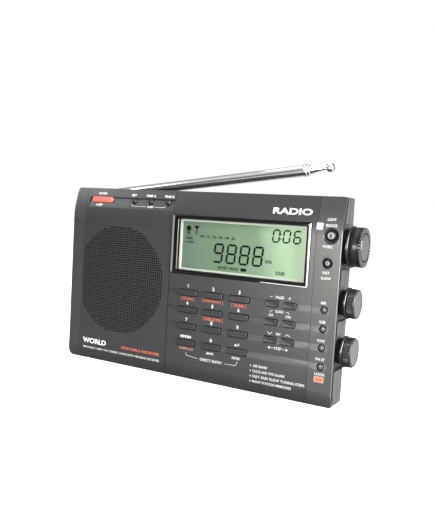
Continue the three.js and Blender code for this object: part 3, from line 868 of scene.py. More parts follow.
strip_outline = [(front_at(STRIP_LOW) - 4, STRIP_LOW), (front_at(STRIP_LOW) - 0.01, STRIP_LOW),
                 (front_at(104.5) + STRIP_DEEP * 0.45, 104.5), (front_at(106.5) + STRIP_DEEP * 0.75, 106.5),
                 (front_at(STRIP_HIGH) + STRIP_DEEP, STRIP_HIGH), (front_at(STRIP_LOW) - 4, STRIP_HIGH)]
cut(speaker_panel, prism("strip", strip_outline, "x", -81.6, PANEL_EDGES[1] + 1))
RIB_DEEP = 0.07
rib_outline = front_band(91.5, 101, -0.5, RIB_DEEP)
ribs = [prism("rib", rib_outline, "x", x - 0.1, x + 0.1)
        for x in (SPEAKER_X + (i + 0.5) * PITCH for i in range(-20, 22))]
cut(speaker_panel, gathered("fine_ribs", ribs))
power_hole = rounded(POWER_LOW.x + 0.6, POWER_HIGH.x - 0.6, POWER_LOW.z + 0.35, POWER_HIGH.z - 0.35, 2.3)
cut(speaker_panel, prism("power_hole", power_hole, "y", *THROUGH))
for node in PRESETS:
    middle = middle_of(node)
    cut(speaker_panel, rod("preset_hole", *THROUGH, PRESET_RADIUS + 0.4, "y", (middle.x, middle.z), 40))
smooth(speaker_panel, 20)
finish_piece(speaker_panel, "panel", "case", "panel", "speaker_panel")
print("with its strip:", len(speaker_panel.data.polygons), "faces")

# %% [markdown]
# ## Control panel
# One thin skin with a large window, four sloping grooves and eighteen key holes. The holes could be left out
# and the keys laid on top, but then no key could sink into the panel. Grooves and holes are gathered first,
# so that the panel is cut only three times.

# %% Control panel
bezel_low, bezel_high = box_of("display_bezel")
control_low, control_high = box_of("control_panel")
MAIN_KEYS = [f"key_{row}_{column}" for row in (1, 2, 3, 4) for column in (1, 2, 3)]
SMALL_KEYS = [f"function_key_{row}_{column}" for row in (1, 2, 3) for column in (1, 2)]
KEY_FOOT = 0.7    # a key's foot is this much wider than its cap, on every side


def key_hole(node):
    low, high = box_of(node)
    gap = KEY_FOOT - 0.3
    outline = rounded(low.x + gap, high.x - gap, low.z + gap, high.z - gap, 0.9, 4)
    return prism("key_hole", outline, "y", *THROUGH)


skin = front_band(0, HEIGHT, 0, PANEL_DEPTH)
control_panel = prism("control_panel_skin", skin, "x", control_low.x, control_high.x)
window = rounded(bezel_low.x - 0.3, bezel_high.x + 0.3, bezel_low.z - 0.3, bezel_high.z + 0.3, 1.2)
cut(control_panel, prism("window", window, "y", *THROUGH))
cut(control_panel, gathered("grooves", [row_groove(z, PANEL_EDGES[1] - 1, PANEL_EDGES[2] + 1)
                                        for z in KEY_ROWS]))
cut(control_panel, gathered("key_holes", [key_hole(node) for node in (*MAIN_KEYS, *SMALL_KEYS)]))
soften(control_panel, 0.14)
finish_piece(control_panel, "panel", "case", "panel", "control_panel")
print("control panel:", len(control_panel.data.polygons), "faces")

# %% [markdown]
# ## Display
# The display is a stack: a polished black bezel standing a little proud, a clear window, a white frame
# printed round its edge, and the green liquid crystal panel with its dark segments. A bezel could be a plate
# with a hole cut in it. Lofted as a ring, its rounded edges come along with its outline.

# %% Bezel and its painted edge highlights
def ring_of(name, outer, inner, levels, radius):
    """A rectangular frame, from (depth, inset of the outer edge, inset of the inner edge) steps."""
    (x0, x1, z0, z1), (a0, a1, c0, c1) = outer, inner
    rings = []
    for y, shrink, widen in levels:
        outline = rounded(x0 + shrink, x1 - shrink, z0 + shrink, z1 - shrink, radius - shrink)
        if widen is not None:
            outline = rounded(a0 - widen, a1 + widen, c0 - widen, c1 + widen, 0.8 + widen)
        rings.append([(a, y, b) for a, b in outline])
    return lofted(name, rings, closed=True)


lens_low, lens_high = box_of("display_lens")
bezel_outer = (bezel_low.x, bezel_high.x, bezel_low.z, bezel_high.z)
opening = (lens_low.x - 0.3, lens_high.x + 0.3, lens_low.z - 0.3, lens_high.z + 0.3)
face_y = bezel_low.y
bezel = ring_of("display_bezel_polished", bezel_outer, opening, [
    (bezel_high.y, 0, None), (face_y + 0.55, 0, None), (face_y + 0.2, 0.12, None), (face_y, 0.5, None),
    (face_y, 0, 0.5), (face_y + 0.15, 0, 0.12), (face_y + 0.5, 0, 0), (bezel_high.y, 0, 0)], 1.2)
finish_piece(smooth(bezel), "bezel", "case", "bezel", "display_bezel")


def painted_highlight_strip(name, x0, x1, z0, z1, finish="painted_highlight"):
    """A thin pale strip on the edge of the bezel: a painted highlight, standing in for the light that its
    rounded rim catches.
    """
    strip = prism(name, rounded(x0, x1, z0, z1, 0.3, 3), "y", face_y - 0.12, face_y + 0.6)
    return finish_piece(soften(strip, 0.08), finish, "case", "bezel")


# Three pale strips on the bezel's edges are painted highlights. The ones on the right and bottom are bright,
# and the one on the left is dimmer.
painted_highlight_strip("bezel_highlight_right", bezel_high.x - 0.75, bezel_high.x - 0.05, bezel_low.z + 0.4,
           bezel_high.z - 0.3)
painted_highlight_strip("bezel_highlight_left", bezel_low.x + 0.02, bezel_low.x + 1.4, bezel_low.z + 0.5, bezel_high.z - 0.3,
           "dim_painted_highlight")
painted_highlight_strip("bezel_highlight_bottom", bezel_high.x - 28, bezel_high.x - 0.6, bezel_low.z - 0.02, bezel_low.z + 0.34)
print("bezel", round(bezel_high.x - bezel_low.x, 1), "mm wide")

# %% [markdown]
# The real window is a thin clear sheet that displaces nothing behind it. Glass that bends light would need
# many more rays and would darken the display. A nearly see-through surface with a faint gloss looks the same
# and lets the light reach the panel. The white frame is printed on its back, as a thin ring.

# %% Window
def clear_window():
    """Mostly see-through, with a thin gloss: a window that blocks no light on its way to the panel."""
    material, tree, shader = blank_material("clear_window", Roughness=0.2, IOR=1.49, Alpha=0.06,
                                            Specular_IOR_Level=0.15)
    marks = placed(tree, MARKS, Base=0.2, Spread=0.05)
    tree.links.new(marks.outputs["Roughness"], shader.inputs["Roughness"])
    tint = mixed(tree, marks.outputs["Smear"], srgb("#0c100c"), srgb("#161b16"))
    tree.links.new(tint, shader.inputs["Base Color"])
    return material


FINISH["lens"] = clear_window()
lens = prism("display_window", rounded(lens_low.x, lens_high.x, lens_low.z, lens_high.z, 0.7), "y",
             lens_low.y, lens_high.y)
finish_piece(soften(lens, 0.12), "lens", "case", "lens", "display_lens")

frame_back = box_of("lcd_module")[0].y - 0.1
frame_ring = ring_of("display_frame", (lens_low.x, lens_high.x, lens_low.z, lens_high.z),
                     (lens_low.x + 1.0, lens_high.x - 1.0, lens_low.z + 0.95, lens_high.z - 0.95),
                     [(frame_back, 0, None), (lens_high.y + 0.05, 0, None), (lens_high.y + 0.05, 0, 0),
                      (frame_back, 0, 0)], 0.7)
finish_piece(smooth(frame_ring), "frame", "case", "lcd")
print("window", round(lens_high.x - lens_low.x, 1), "mm wide")

# %% [markdown]
# The panel's green is painted brighter towards its right-hand end, and the panel gives a faint light of its
# own. Both are painted light, standing in for the light that falls on it. A lamp behind a sheet that lets
# light through would be truer, but noisy to render. A gradient across the panel's own width, mottled a
# little, drives both its colour and its painted glow.

# %% Liquid crystal panel
# (how far across the panel, its green there: painted light, brighter to the right)
PAINTED_LIGHT_GREENS = [(0.0, "#55665a"), (0.3, "#60745f"), (0.6, "#6b826a"), (0.85, "#96b191"), (1.0, "#a3bd9f")]


def lcd_green_painted_light(low, high):
    # A faint glow and a green that brightens to the right: painted light on a panel that is no lamp.
    material, tree, shader = blank_material("lcd_green_painted_light", Emission_Strength=0.12, Roughness=0.5,
                                            Specular_IOR_Level=0.1)
    place = tree.nodes.new("ShaderNodeTexCoord")
    split = tree.nodes.new("ShaderNodeSeparateXYZ")
    tree.links.new(place.outputs["Object"], split.inputs["Vector"])
    from_left = maths(tree, "SUBTRACT", split.outputs["X"], low * MM)
    across = maths(tree, "DIVIDE", from_left, (high - low) * MM)
    mottled = maths(tree, "MULTIPLY", noise(tree, 60, 3, place.outputs["Object"]), 0.24)
    painted_light = maths(tree, "ADD", across, maths(tree, "SUBTRACT", mottled, 0.12))
    greens = colour_ramp(tree, painted_light, [(across_panel, srgb(code)) for across_panel, code in PAINTED_LIGHT_GREENS])
    tree.links.new(greens, shader.inputs["Base Color"])
    tree.links.new(greens, shader.inputs["Emission Color"])
    return material


lcd_low, lcd_high = box_of("lcd_module")
FINISH["lcd"] = lcd_green_painted_light(lcd_low.x, lcd_high.x)
FINISH["segment"] = plastic("lcd_segment", "#06100a", "#0a160e", 0.6, depth=0.02,
                            Specular_IOR_Level=0.05)
FINISH["faint_segment"] = plastic("lcd_faint_segment", "#14241a", "#1b2e20", 0.6, depth=0.02,
                                  Specular_IOR_Level=0.05)
lcd = prism("lcd_panel", rounded(lcd_low.x, lcd_high.x, lcd_low.z, lcd_high.z, 0.4, 3), "y", lcd_low.y,
            lcd_high.y)
finish_piece(soften(lcd, 0.2), "lcd", "case", "lcd", "lcd_module")
print("panel", round(lcd_high.x - lcd_low.x, 1), "mm wide, greens:", len(PAINTED_LIGHT_GREENS))

# %% [markdown]
# Every digit is the same seven slanted bars, lit or not. A typeface with such digits could be used, but it
# would have to be loaded from a file. One table says which bars a digit uses, and a bar is a thin six-sided
# plate, so a digit of any size comes from the same few lines.

# %% Seven-segment digits
SEGMENTS = {"0": "abcdef", "6": "acdefg", "8": "abcdefg", "9": "abcdfg"}
BARS = {"a": ((0, 1), (1, 1)), "b": ((1, 0.5), (1, 1)), "c": ((1, 0), (1, 0.5)), "d": ((0, 0), (1, 0)),
        "e": ((0, 0), (0, 0.5)), "f": ((0, 0.5), (0, 1)), "g": ((0, 0.5), (1, 0.5))}
SLANT = 0.1
segment_y = lcd_low.y - 0.06


def bar_outline(start, end, thick, gap):
    """A bar with pointed ends, between two corners of the digit."""
    (x0, z0), (x1, z1) = start, end
    length = math.hypot(x1 - x0, z1 - z0)
    ux, uz = (x1 - x0) / length, (z1 - z0) / length
    half = thick / 2
    shape = [(gap, 0), (gap + half, half), (length - gap - half, half), (length - gap, 0),
             (length - gap - half, -half), (gap + half, -half)]
    return [(x0 + s * ux - t * uz, z0 + s * uz + t * ux) for s, t in shape]


def digit(character, x, z, width, height, thick):
    plates = []
    for bar in SEGMENTS[character]:
        ends = [(a * (width - thick), b * (height - thick)) for a, b in BARS[bar]]
        outline = bar_outline(*ends, thick, 0.12)
        outline = [(x + thick / 2 + a + SLANT * b, z + thick / 2 + b) for a, b in outline]
        plates.append(prism("bar", outline, "y", segment_y, lcd_low.y + 0.02))
    return plates


WIDE_X = lcd_low.x + 23.9
large_digits = [p for i, c in enumerate("9888") for p in digit(c, WIDE_X + 8.62 * i, 72.4, 6.5, 11.7, 1.2)]
finish_piece(smooth(gathered("frequency_digits", large_digits)), "segment", "case", "lcd")
small_digits = [p for i, c in enumerate("006") for p in digit(c, lcd_high.x - 22.7 + 6.35 * i, 86.9, 4.7, 7.6,
                                                              0.95)]
finish_piece(smooth(gathered("memory_digits", small_digits)), "faint_segment", "case", "lcd")
print("display digits:", len(large_digits) + len(small_digits), "bars")

# %% [markdown]
# Besides its digits the panel has fixed signs: an aerial, a lamp, a colon and a band mark. They could be
# drawn as pictures, but they lie in the same thin layer as the digits. So they are plates of the same
# thickness and finish, from outlines of a few points each.

# %% Symbols of the display
def lcd_plate(outline):
    return prism("symbol", outline, "y", segment_y, lcd_low.y + 0.02)


def lcd_bar(x0, x1, z0, z1):
    return lcd_plate(rounded(x0, x1, z0, z1, 0.12, 2))


symbol_x = lcd_low.x + 11.9
aerial = [lcd_plate([(symbol_x - 1.9, 93.4), (symbol_x, 91.0), (symbol_x + 1.9, 93.4)]),
          lcd_bar(symbol_x - 0.36, symbol_x + 0.36, 88.2, 91.6)]
lamp = [lcd_plate(arc((symbol_x - 5.6, 91.7), 1.7, -60, 240, 14)),
        lcd_bar(symbol_x - 6.6, symbol_x - 4.6, 88.9, 89.8),
        lcd_bar(symbol_x - 6.4, symbol_x - 4.8, 87.8, 88.5)]
colon = [lcd_bar(lcd_high.x - 17.6, lcd_high.x - 16.9, z, z + 0.7) for z in (88.7, 91.4)]
band_mark = [lcd_bar(lcd_low.x + 43.0, lcd_low.x + 46.6, 68.9, 70.7)]
symbols = [*aerial, *lamp, *colon, *band_mark]
finish_piece(smooth(gathered("display_symbols", symbols)), "segment", "case", "lcd")
print("symbol plates:", len(symbols))

# %% [markdown]
# ## Keys
# A key has a wide foot behind the panel, straight sides, a small round over its edge and a top that is
# hardly dished. A bevelled cube has no foot and no dish. A loft of rounded rectangles has both: the main
# keys are flat bars, and the small ones are dished for a fingertip.

# %% Key caps
def cap_rings(width, height, radius, top, levels):
    """Rounded rectangles at (depth behind the front plane, inset) steps."""
    rings = []
    for y, inset in levels:
        outline = rounded(-width / 2 + inset, width / 2 - inset, -height / 2 + inset, height / 2 - inset,
                          radius - inset)
        rings.append([(x, top + y, z) for x, z in outline])
    return rings


def key_cap(name, node, dish):
    low, high = box_of(node)
    middle = (low + high) / 2
    width, height = high.x - low.x - 2 * KEY_FOOT, high.z - low.z - 2 * KEY_FOOT
    foot = high.y - 0.8 - low.y
    levels = [(high.y - low.y, -KEY_FOOT), (foot, -KEY_FOOT), (foot, 0), (0.42, 0), (0.2, 0.06), (0.06, 0.2),
              (0, 0.42), (dish * 0.5, 0.8), (dish, 1.25)]
    cap = lofted(name, cap_rings(width, height, 0.75, low.y, levels))
    cap.location = Vector((middle.x, 0, middle.z)) * MM
    return smooth(cap, 50)


KEY_BODIES = {"key_1_1": "digit_1", "key_1_2": "digit_2", "key_1_3": "digit_3", "key_2_1": "digit_4",
              "key_2_2": "digit_5", "key_2_3": "digit_6", "key_3_1": "digit_7", "key_3_2": "digit_8",
              "key_3_3": "digit_9", "key_4_1": "memory", "key_4_2": "digit_0", "key_4_3": "delete",
              "function_key_1_1": "page_down", "function_key_1_2": "page_up",
              "function_key_2_1": "am_band", "function_key_2_2": "fm_band",
              "function_key_3_1": "sw_down", "function_key_3_2": "sw_up"}
for node, body in KEY_BODIES.items():
    cap = key_cap(node + "_cap", node, 0.05 if node in MAIN_KEYS else 0.22)
    finish_piece(cap, "key", body, "key", node)
print("key caps:", len(KEY_BODIES))

# %% [markdown]
# The buttons of the right strip and the three presets are small domes on a wider foot, which keeps them from
# falling out. A squashed sphere would do for the dome alone. A turned profile gives dome, edge and foot in
# one go. The two larger buttons carry a pale ring, a tiny turning of its own with its own finish.

# %% Round buttons
def round_button(name, node, radius, dome, finish, body):
    """A turned button with a rounded edge and a domed top, on a wider foot."""
    low, high = box_of(node)
    middle = (low + high) / 2
    foot = (high.z - low.z) / 2
    top = low.y
    profile = [(top - dome, 0), (top - dome * 0.9, radius * 0.3), (top - dome * 0.6, radius * 0.58),
               (top - dome * 0.1, radius * 0.84), (top + 0.25, radius * 0.96), (top + 0.6, radius),
               (high.y - 0.8, radius), (high.y - 0.8, foot), (high.y, foot), (high.y, 0)]
    button = turned(name, profile, "y", (middle.x, middle.z), 48)
    return finish_piece(smooth(button, 50), finish, body, "key", node)


BUTTON_RADIUS = {"light_button": 2.7, "mode_button": 1.9}
for node, (body, rim) in STRIP_BUTTONS.items():
    colour = "key" if node in BUTTON_RADIUS else "dome"
    round_button(node + "_dome", node, BUTTON_RADIUS.get(node, 1.5), 0.3, colour, body)
for node, body in PRESETS.items():
    round_button(node + "_dome", node, PRESET_RADIUS, 0.35, "key", body)


def pale_ring(node, body, radius, thick):
    """A pale ring moulded into the top of a dark button."""
    middle, top = middle_of(node), box_of(node)[0].y - 0.22
    section = [(top + thick * a, radius + thick * b) for a, b in arc((0, 0), 1, 0, 315, 7)]
    ring = turned(node + "_ring", section, "y", (middle.x, middle.z), 40, closed=True)
    return finish_piece(smooth(ring, 70), "pale_ring", body, "key")


pale_ring("light_button", "light", 1.45, 0.32)
pale_ring("mode_button", "mode", 0.85, 0.24)
print("round buttons:", len(STRIP_BUTTONS) + len(PRESETS))

# %% [markdown]
# The power button is an orange red capsule, wider than it is high. It can't be turned, because it is long.
# It is lofted like a key instead, with a corner radius of half its height, so both of its ends are round.

# %% Power button
power_middle = (POWER_LOW + POWER_HIGH) / 2
power_width, power_height = POWER_HIGH.x - POWER_LOW.x - 2.4, POWER_HIGH.z - POWER_LOW.z - 1.5
power_foot = POWER_HIGH.y - POWER_LOW.y
power_levels = [(power_foot, -0.6), (power_foot - 0.8, -0.6), (power_foot - 0.8, 0), (0.6, 0), (0.3, 0.1),
                (0.1, 0.3), (0, 0.7), (-0.05, 1.3), (-0.08, 1.9)]
power_rings = cap_rings(power_width, power_height, power_height / 2, POWER_LOW.y, power_levels)
power_button = lofted("power_button_cap", power_rings)
power_button.location = Vector((power_middle.x, 0, power_middle.z)) * MM
finish_piece(smooth(power_button, 50), "red", "power", "red_key", "power_button")
print("power button", round(power_width, 1), "mm wide")

# %% [markdown]
# ## Knobs
# A knob is a turning whose sides are shaped for fingers. The two small ones are finely fluted all round and
# end in a flat bright face. The large one has smooth sides and a ring of small teeth round a dished face. A
# grip could be a bump texture, but a knob is seen from the side, where only real flutes and teeth show.

# %% Knob turnings
SKIRT_END = 95.7        # where the dark skirt ends and the grip begins
GRIP_INSET = 0.6        # the grip is this much slimmer than the skirt
FLUTES, FLUTE_DEPTH, FLUTE_START, FLUTE_END = 48, 0.3, 96.3, 99.3
SMOOTH_SIDE = (3.6, 2.6)   # the large knob's straight side, as distances from its end
GRIP_STEPS, GRIP_LEVELS = 192, 6


def fluted(along, angle):
    if not FLUTE_START <= along <= FLUTE_END:
        return 0
    return -FLUTE_DEPTH * (0.5 - 0.5 * math.cos(FLUTES * angle)) ** 1.5


def knob_skirt(node, body, start, outer, axis):
    inner = outer - GRIP_INSET
    skirt = [(start, 0), (start, 3), (91.8, 3), (91.8, inner - 1.2), (94.2, inner - 1.2),
             (94.2, outer - 0.25), (94.45, outer), (95.35, outer), (95.6, outer - 0.25),
             (SKIRT_END, inner - 0.6), (SKIRT_END, 0)]
    finish_piece(smooth(turned(node + "_skirt", skirt, "x", axis, 96)), "knob_skirt", body, "knob", node)


def straight_side(first, last, end, radius):
    """Rings that are close enough together for flutes to run along them."""
    start = SKIRT_END + 0.05
    levels = [first + (last - first) * i / GRIP_LEVELS for i in range(GRIP_LEVELS + 1)]
    return [(start, 0), (start, radius - 0.35), (start + 0.3, radius), (first - 0.02, radius),
            *[(level, radius) for level in levels], (last + 0.02, radius), (end - 0.8, radius)]


print("flutes on a small knob:", FLUTES)

# %% [markdown]
# The grip and the face are separate mouldings on the real knob, in two shades, so they are separate pieces
# here. One turning with two materials would need its faces picked out by hand. The face sits in a shallow
# seat of the grip, and is dished by pulling the rings near its middle inwards.

# %% Grips, faces and teeth
def knob_grip(node, body, end, radius, seat, axis, toothed):
    if toothed:
        side = straight_side(end - SMOOTH_SIDE[0], end - SMOOTH_SIDE[1], end, radius)
        rim = [(end - 2.0, radius), (end - 1.6, radius - 0.12), (end - 1.35, radius - 0.4),
               (end - 1.3, radius - 0.8), (end - 1.3, seat + 0.6), (end - 0.5, seat + 0.45),
               (end - 0.25, seat + 0.3), (end - 0.2, seat + 0.1)]
    else:
        side = straight_side(FLUTE_START, FLUTE_END, end, radius)
        rim = [(end - 0.32, radius - 0.14), (end - 0.1, radius - 0.4), (end, radius - 0.85),
               (end, seat + 0.25)]
    hollow_seat = [(end - 0.12, seat), (end - 0.9, seat), (end - 0.9, 0)]
    ripple = None if toothed else fluted
    grip = turned(node + "_grip", [*side, *rim, *hollow_seat], "x", axis, GRIP_STEPS, ripple)
    finish_piece(smooth(grip, 60), "knob", body, "knob")


def knob_face(node, body, end, seat, axis, dish, finish):
    edge, top = seat - 0.06, end - 0.12
    face = [(end - 0.88, 0), (end - 0.88, edge), (end - 0.3, edge), (end - 0.16, seat - 0.2),
            (top - dish * 0.35, seat * 0.8), (top - dish * 0.8, seat * 0.45), (top - dish, seat * 0.2),
            (top - dish, 0)]
    finish_piece(smooth(turned(node + "_face", face, "x", axis, 96), 50), finish, body, "knob")


def knob_teeth(node, body, end, radius, seat, axis, count):
    teeth = []
    for i in range(count):
        tooth = block("tooth", (end - 1.7, end - 0.2), (seat + 0.9, radius - 0.12), (-0.5, 0.5))
        tooth.data.transform(Matrix.Rotation(2 * math.pi * i / count, 4, "X"))
        tooth.data.transform(Matrix.Translation((0, axis[0] * MM, axis[1] * MM)))
        teeth.append(tooth)
    finish_piece(soften(gathered(node + "_teeth", teeth), 0.14), "knob_face", body, "knob")


for node, body in KNOBS.items():
    low, high = box_of(node)
    axis, outer = (KNOB_AXIS_Y, (low.z + high.z) / 2), (high.z - low.z) / 2
    radius = outer - GRIP_INSET
    toothed = node == "tuning_knob"
    seat = radius * (0.66 if toothed else 0.9)
    knob_skirt(node, body, low.x, outer, axis)
    knob_grip(node, body, high.x, radius, seat, axis, toothed)
    knob_face(node, body, high.x, seat, axis, *((0.8, "dish") if toothed else (0.1, "knob_face")))
    if toothed:
        knob_teeth(node, body, high.x, radius, seat, axis, 36)
print("knobs:", len(KNOBS))

# %% [markdown]
# ## Mast
# Six sections of chromed tube slide in each other. Each is rolled in at its open end, and the lowest one
# carries a collar. They could be modelled lying flat and turned as objects, but then every piece would carry
# a rotation. Their meshes are turned round X at the pivot and swung up onto the mast's rising line instead.

# %% Tubes on the rising line
MAST_PIVOT = Vector((mast_x, mast_y, 110.8))
MAST_RISE = math.radians(7.22)
TUBE_RADII = (3.25, 2.8, 2.35, 1.9, 1.45)
TUBE_WALL = 0.25
TUBE_START, TUBE_END = 9.0, 148.0
MAST_LINE = Matrix.Translation(MAST_PIVOT * MM) @ Matrix.Rotation(-MAST_RISE, 4, "Y")


def on_the_line(piece):
    piece.data.transform(MAST_LINE)
    return piece


def tube(name, outer, start):
    inner = outer - TUBE_WALL
    profile = [(start, 0), (start, outer - 0.3), (start + 0.3, outer), (TUBE_END - 0.35, outer),
               (TUBE_END - 0.1, outer - 0.08), (TUBE_END, inner + 0.06), (TUBE_END - 0.05, inner),
               (start + 1, inner), (start + 1, 0)]
    return turned(name, profile, "x", steps=48)


def mast_base():
    outer = TUBE_RADII[0]
    tongue = rod("mast_section_1", -1.7, 1.7, 3.1, "y", steps=48)
    add(tongue, block("shank", (0, TUBE_START + 1), (-1.7, 1.7), (-2.6, 2.6)))
    cut(tongue, rod("eye", -3, 3, 1.4, "y", steps=32))
    add(tongue, turned("plug", [(6.6, 0), (6.6, outer - 0.6), (6.8, outer - 0.4), (10.2, outer - 0.4),
                                (10.2, 0)], "x", steps=48))
    add(tongue, tube("outer", outer, TUBE_START))
    collar = [(TUBE_END - 2, outer - 0.1), (TUBE_END - 2, outer + 0.15), (TUBE_END - 1.8, outer + 0.25),
              (TUBE_END - 0.4, outer + 0.25), (TUBE_END - 0.1, outer + 0.1), (TUBE_END, outer - 0.1)]
    return add(tongue, turned("collar", collar, "x", steps=48, closed=True))


finish_piece(smooth(on_the_line(mast_base())), "chrome", "mast_1", "chrome", "mast_tube_1")
for i, outer in enumerate(TUBE_RADII[1:]):
    section = tube(f"mast_section_{i + 2}", outer, TUBE_START + 2.5 + 1.5 * i)
    finish_piece(smooth(on_the_line(section)), "chrome", f"mast_{i + 2}", "chrome", f"mast_tube_{i + 2}")

tip = [(19, 0), (19, 0.85), (19.15, 1), (148.3, 1), (148.3, 2.9), (148.4, 3), (149.2, 3), (149.4, 2.85),
       (149.8, 2.4), (160, 0.7), (160, 2.0), (160.15, 2.3), (160.6, 2.6), (161.1, 2.65), (162.6, 2.65),
       (163.2, 2.5), (163.7, 2.0), (163.9, 1.2), (163.9, 0)]
finish_piece(smooth(on_the_line(turned("mast_tip_rod", tip, "x", steps=48))), "chrome", "mast_6", "chrome",
             "mast_tip")
print("mast sections:", len(TUBE_RADII) + 1)

# %% [markdown]
# The mast swivels on a round shank and folds in a fork between two ears. On the real radio this is one
# plated casting. It could be lofted, but its parts meet at right angles: so shank and ears are turned, a
# block joins them, and the slot of the fork is cut out, much as the casting's own tool is made.

# %% Turret
def turret():
    shank = turned("mast_turret_fork", [(-10, 0), (-10, 3.8), (-9.8, 4), (-8.4, 4), (-8.4, 5.2), (-4.7, 5.2),
                                        (-4.4, 4.9), (-4.4, 0)], "z", steps=64)
    ears = turned("ears", [(-3.7, 0), (-3.7, 3.3), (-3.5, 3.5), (3.5, 3.5), (3.7, 3.3), (3.7, 0)], "y",
                  steps=48)
    add(ears, block("ear_base", (-3.5, 3.5), (-3.7, 3.7), (-4.6, 0)))
    cut(ears, block("fork", (-6, 6), (-2, 2), (-4.3, 6)))
    add(shank, ears)
    add(shank, rod("pin", -3.6, 3.6, 1.1, "y", steps=32))
    shank.data.transform(Matrix.Translation(MAST_PIVOT * MM))
    return soften(shank, 0.1)


finish_piece(turret(), "chrome", "turret", "chrome", "mast_turret")
print("turret at", mast_x, mast_y, "mm")

# %% [markdown]
# ## The back
# The kickstand is a thin door on a barrel hinge, with ribs that keep it flat. It could be bent from a sheet
# with a curve of even thickness, but a moulding is thick where it turns and thin between its ribs. So it
# starts as a plate, gains its barrel and pins, and then a sunk field with ribs.

# %% Kickstand
def kickstand():
    x0, x1 = stand_low.x + 1.8, stand_high.x - 1.8
    plate = prism("kickstand_plate", rounded(x0, x1, 6.5, 48, 2.2), "y", 13.5, 15.7)
    add(plate, rod("barrel", x0, x1, 1.45, "x", HINGE, 40))
    add(plate, rod("pins", stand_low.x, stand_high.x, 0.85, "x", HINGE, 24))
    cut(plate, prism("field", rounded(x0 + 4, x1 - 4, 12, 42, 1.5), "y", 15.1, 17))
    ribs = [prism("rib", rounded(x0 + 6, x1 - 6, z - 0.5, z + 0.5, 0.5, 3), "y", 14.6, 15.6)
            for z in range(16, 41, 4)]
    add(plate, gathered("ribs", ribs))
    return soften(plate, 0.16)


finish_piece(kickstand(), "casing", "stand", "casing", "kickstand")
print("kickstand", round(stand_high.z - stand_low.z, 1), "mm tall")

# %% [markdown]
# The battery door is a thin plate with a latch at its top, four grip grooves and an arrow. A plain box would
# do for its shape when shut. But it tips outwards on its lower edge, so that edge is chamfered on the
# inside: without the chamfer its corner would cut into the case as the door opens.

# %% Battery door
def battery_door():
    y0, y1 = door_low.y, door_high.y
    foot = door_low.z
    door = prism("battery_door_plate", rounded(door_low.x, door_high.x, foot, 60.6, 0.5), "y", y0, y1)
    add(door, prism("latch", rounded(LATCH_X - 4, LATCH_X + 4, 58.5, door_high.z, 0.7), "y", y0, y1))
    heel = [(y0 - 1, foot - 1), (y0 + 0.8, foot - 1), (y0 + 0.8, foot + 0.1), (y0 - 1, foot + 1.9)]
    cut(door, prism("heel", heel, "x", door_low.x - 1, door_high.x + 1))
    grips = [prism("grip", rounded(LATCH_X - 7, LATCH_X + 7, z - 0.35, z + 0.35, 0.3, 3), "y", y1 - 0.45,
                   y1 + 1) for z in (50, 51.8, 53.6, 55.4)]
    cut(door, gathered("grips", grips))
    arrow = [(LATCH_X - 2.4, 46.5), (LATCH_X, 43.5), (LATCH_X + 2.4, 46.5)]
    cut(door, prism("arrow", arrow, "y", y1 - 0.4, y1 + 1))
    return soften(door, 0.14)


finish_piece(battery_door(), "casing", "door", "casing", "battery_door")
print("battery door", round(door_high.x - door_low.x, 1), "mm wide")

# %% [markdown]
# Four self-tapping screws hold the halves together. A whole screw could be made, but its thread is never
# seen, so only the head is: a turned dome at the bottom of its well, with two slots cut across it. The four
# heads are one piece, because they share a finish and a body.

# %% Screws
def case_screw(x, z):
    """A pan head with a cross slot, at the bottom of its well."""
    dome = [(14.95, 0), (14.95, 2.1), (15.3, 2.2), (15.6, 1.9), (15.85, 1.2), (15.95, 0)]
    head = turned("screw", dome, "y", (x, z), 40)
    for across, up in ((1.3, 0.28), (0.28, 1.3)):
        cut(head, block("slot", (x - across, x + across), (15.35, 17), (z - up, z + up)))
    return head


screws = gathered("case_screws", [case_screw(x, z) for x, z in SCREWS])
finish_piece(smooth(screws), "steel", "case", "driver")
print("case screws:", len(SCREWS))

# %% [markdown]
# ## Sockets and switches
# The left side has an earphone socket and a power socket, the second with a pin in its middle. A hole with a
# dark disc in it would pass from afar. A turned sleeve with a real bore also looks right from close by, and
# its rim catches the light.

# %% Sockets
def socket_sleeve(node, bore, depth, pin):
    low, high = box_of(node)
    radius = (high.z - low.z) / 2
    start = low.x
    profile = [(high.x, 0), (high.x, radius), (start + 0.5, radius), (start + 0.1, radius - 0.35),
               (start, radius - 0.8), (start, bore + 0.3), (start + 0.3, bore), (start + depth, bore)]
    if pin:
        profile += [(start + depth, pin), (start + 1.5, pin), (start + 1.25, pin - 0.25), (start + 1.2, 0)]
    else:
        profile += [(start + depth, 0)]
    middle = (low + high) / 2
    sleeve = turned(node + "_sleeve", profile, "x", (middle.y, middle.z), 56)
    return finish_piece(smooth(sleeve), "socket", "case", "socket", node)


socket_sleeve("earphone_jack", 1.85, 12, 0)
socket_sleeve("power_jack", 2.8, 9, 0.9)
print("sockets:", len(SOCKETS))

# %% [markdown]
# A switch cap is a small block that stands out of its slot, on a broad foot that keeps it in. Five fine
# grooves give a fingertip its hold. They are cut rather than added as a bump, because the notches show in
# the outline of the cap when it is seen from the front.

# %% Slide switches
def slide_cap(node, body):
    low, high = box_of(node)
    middle = (low + high) / 2
    neck_end = high.x - 1.0
    cap = block(node + "_cap", (low.x, neck_end + 0.2), (middle.y - 1.5, middle.y + 1.5),
                (middle.z - 2, middle.z + 2))
    add(cap, block("foot", (neck_end, high.x), (low.y, high.y), (low.z, high.z)))
    for i in (-2, -1, 0, 1, 2):
        z = middle.z + 0.75 * i
        cut(cap, block("ridge", (low.x - 1, low.x + 0.3), (low.y - 1, high.y + 1), (z - 0.16, z + 0.16)))
    return finish_piece(soften(cap, 0.06), "key", body, "key", node)


for node, (body, down, up) in SWITCHES.items():
    slide_cap(node, body)
print("switches:", len(SWITCHES))

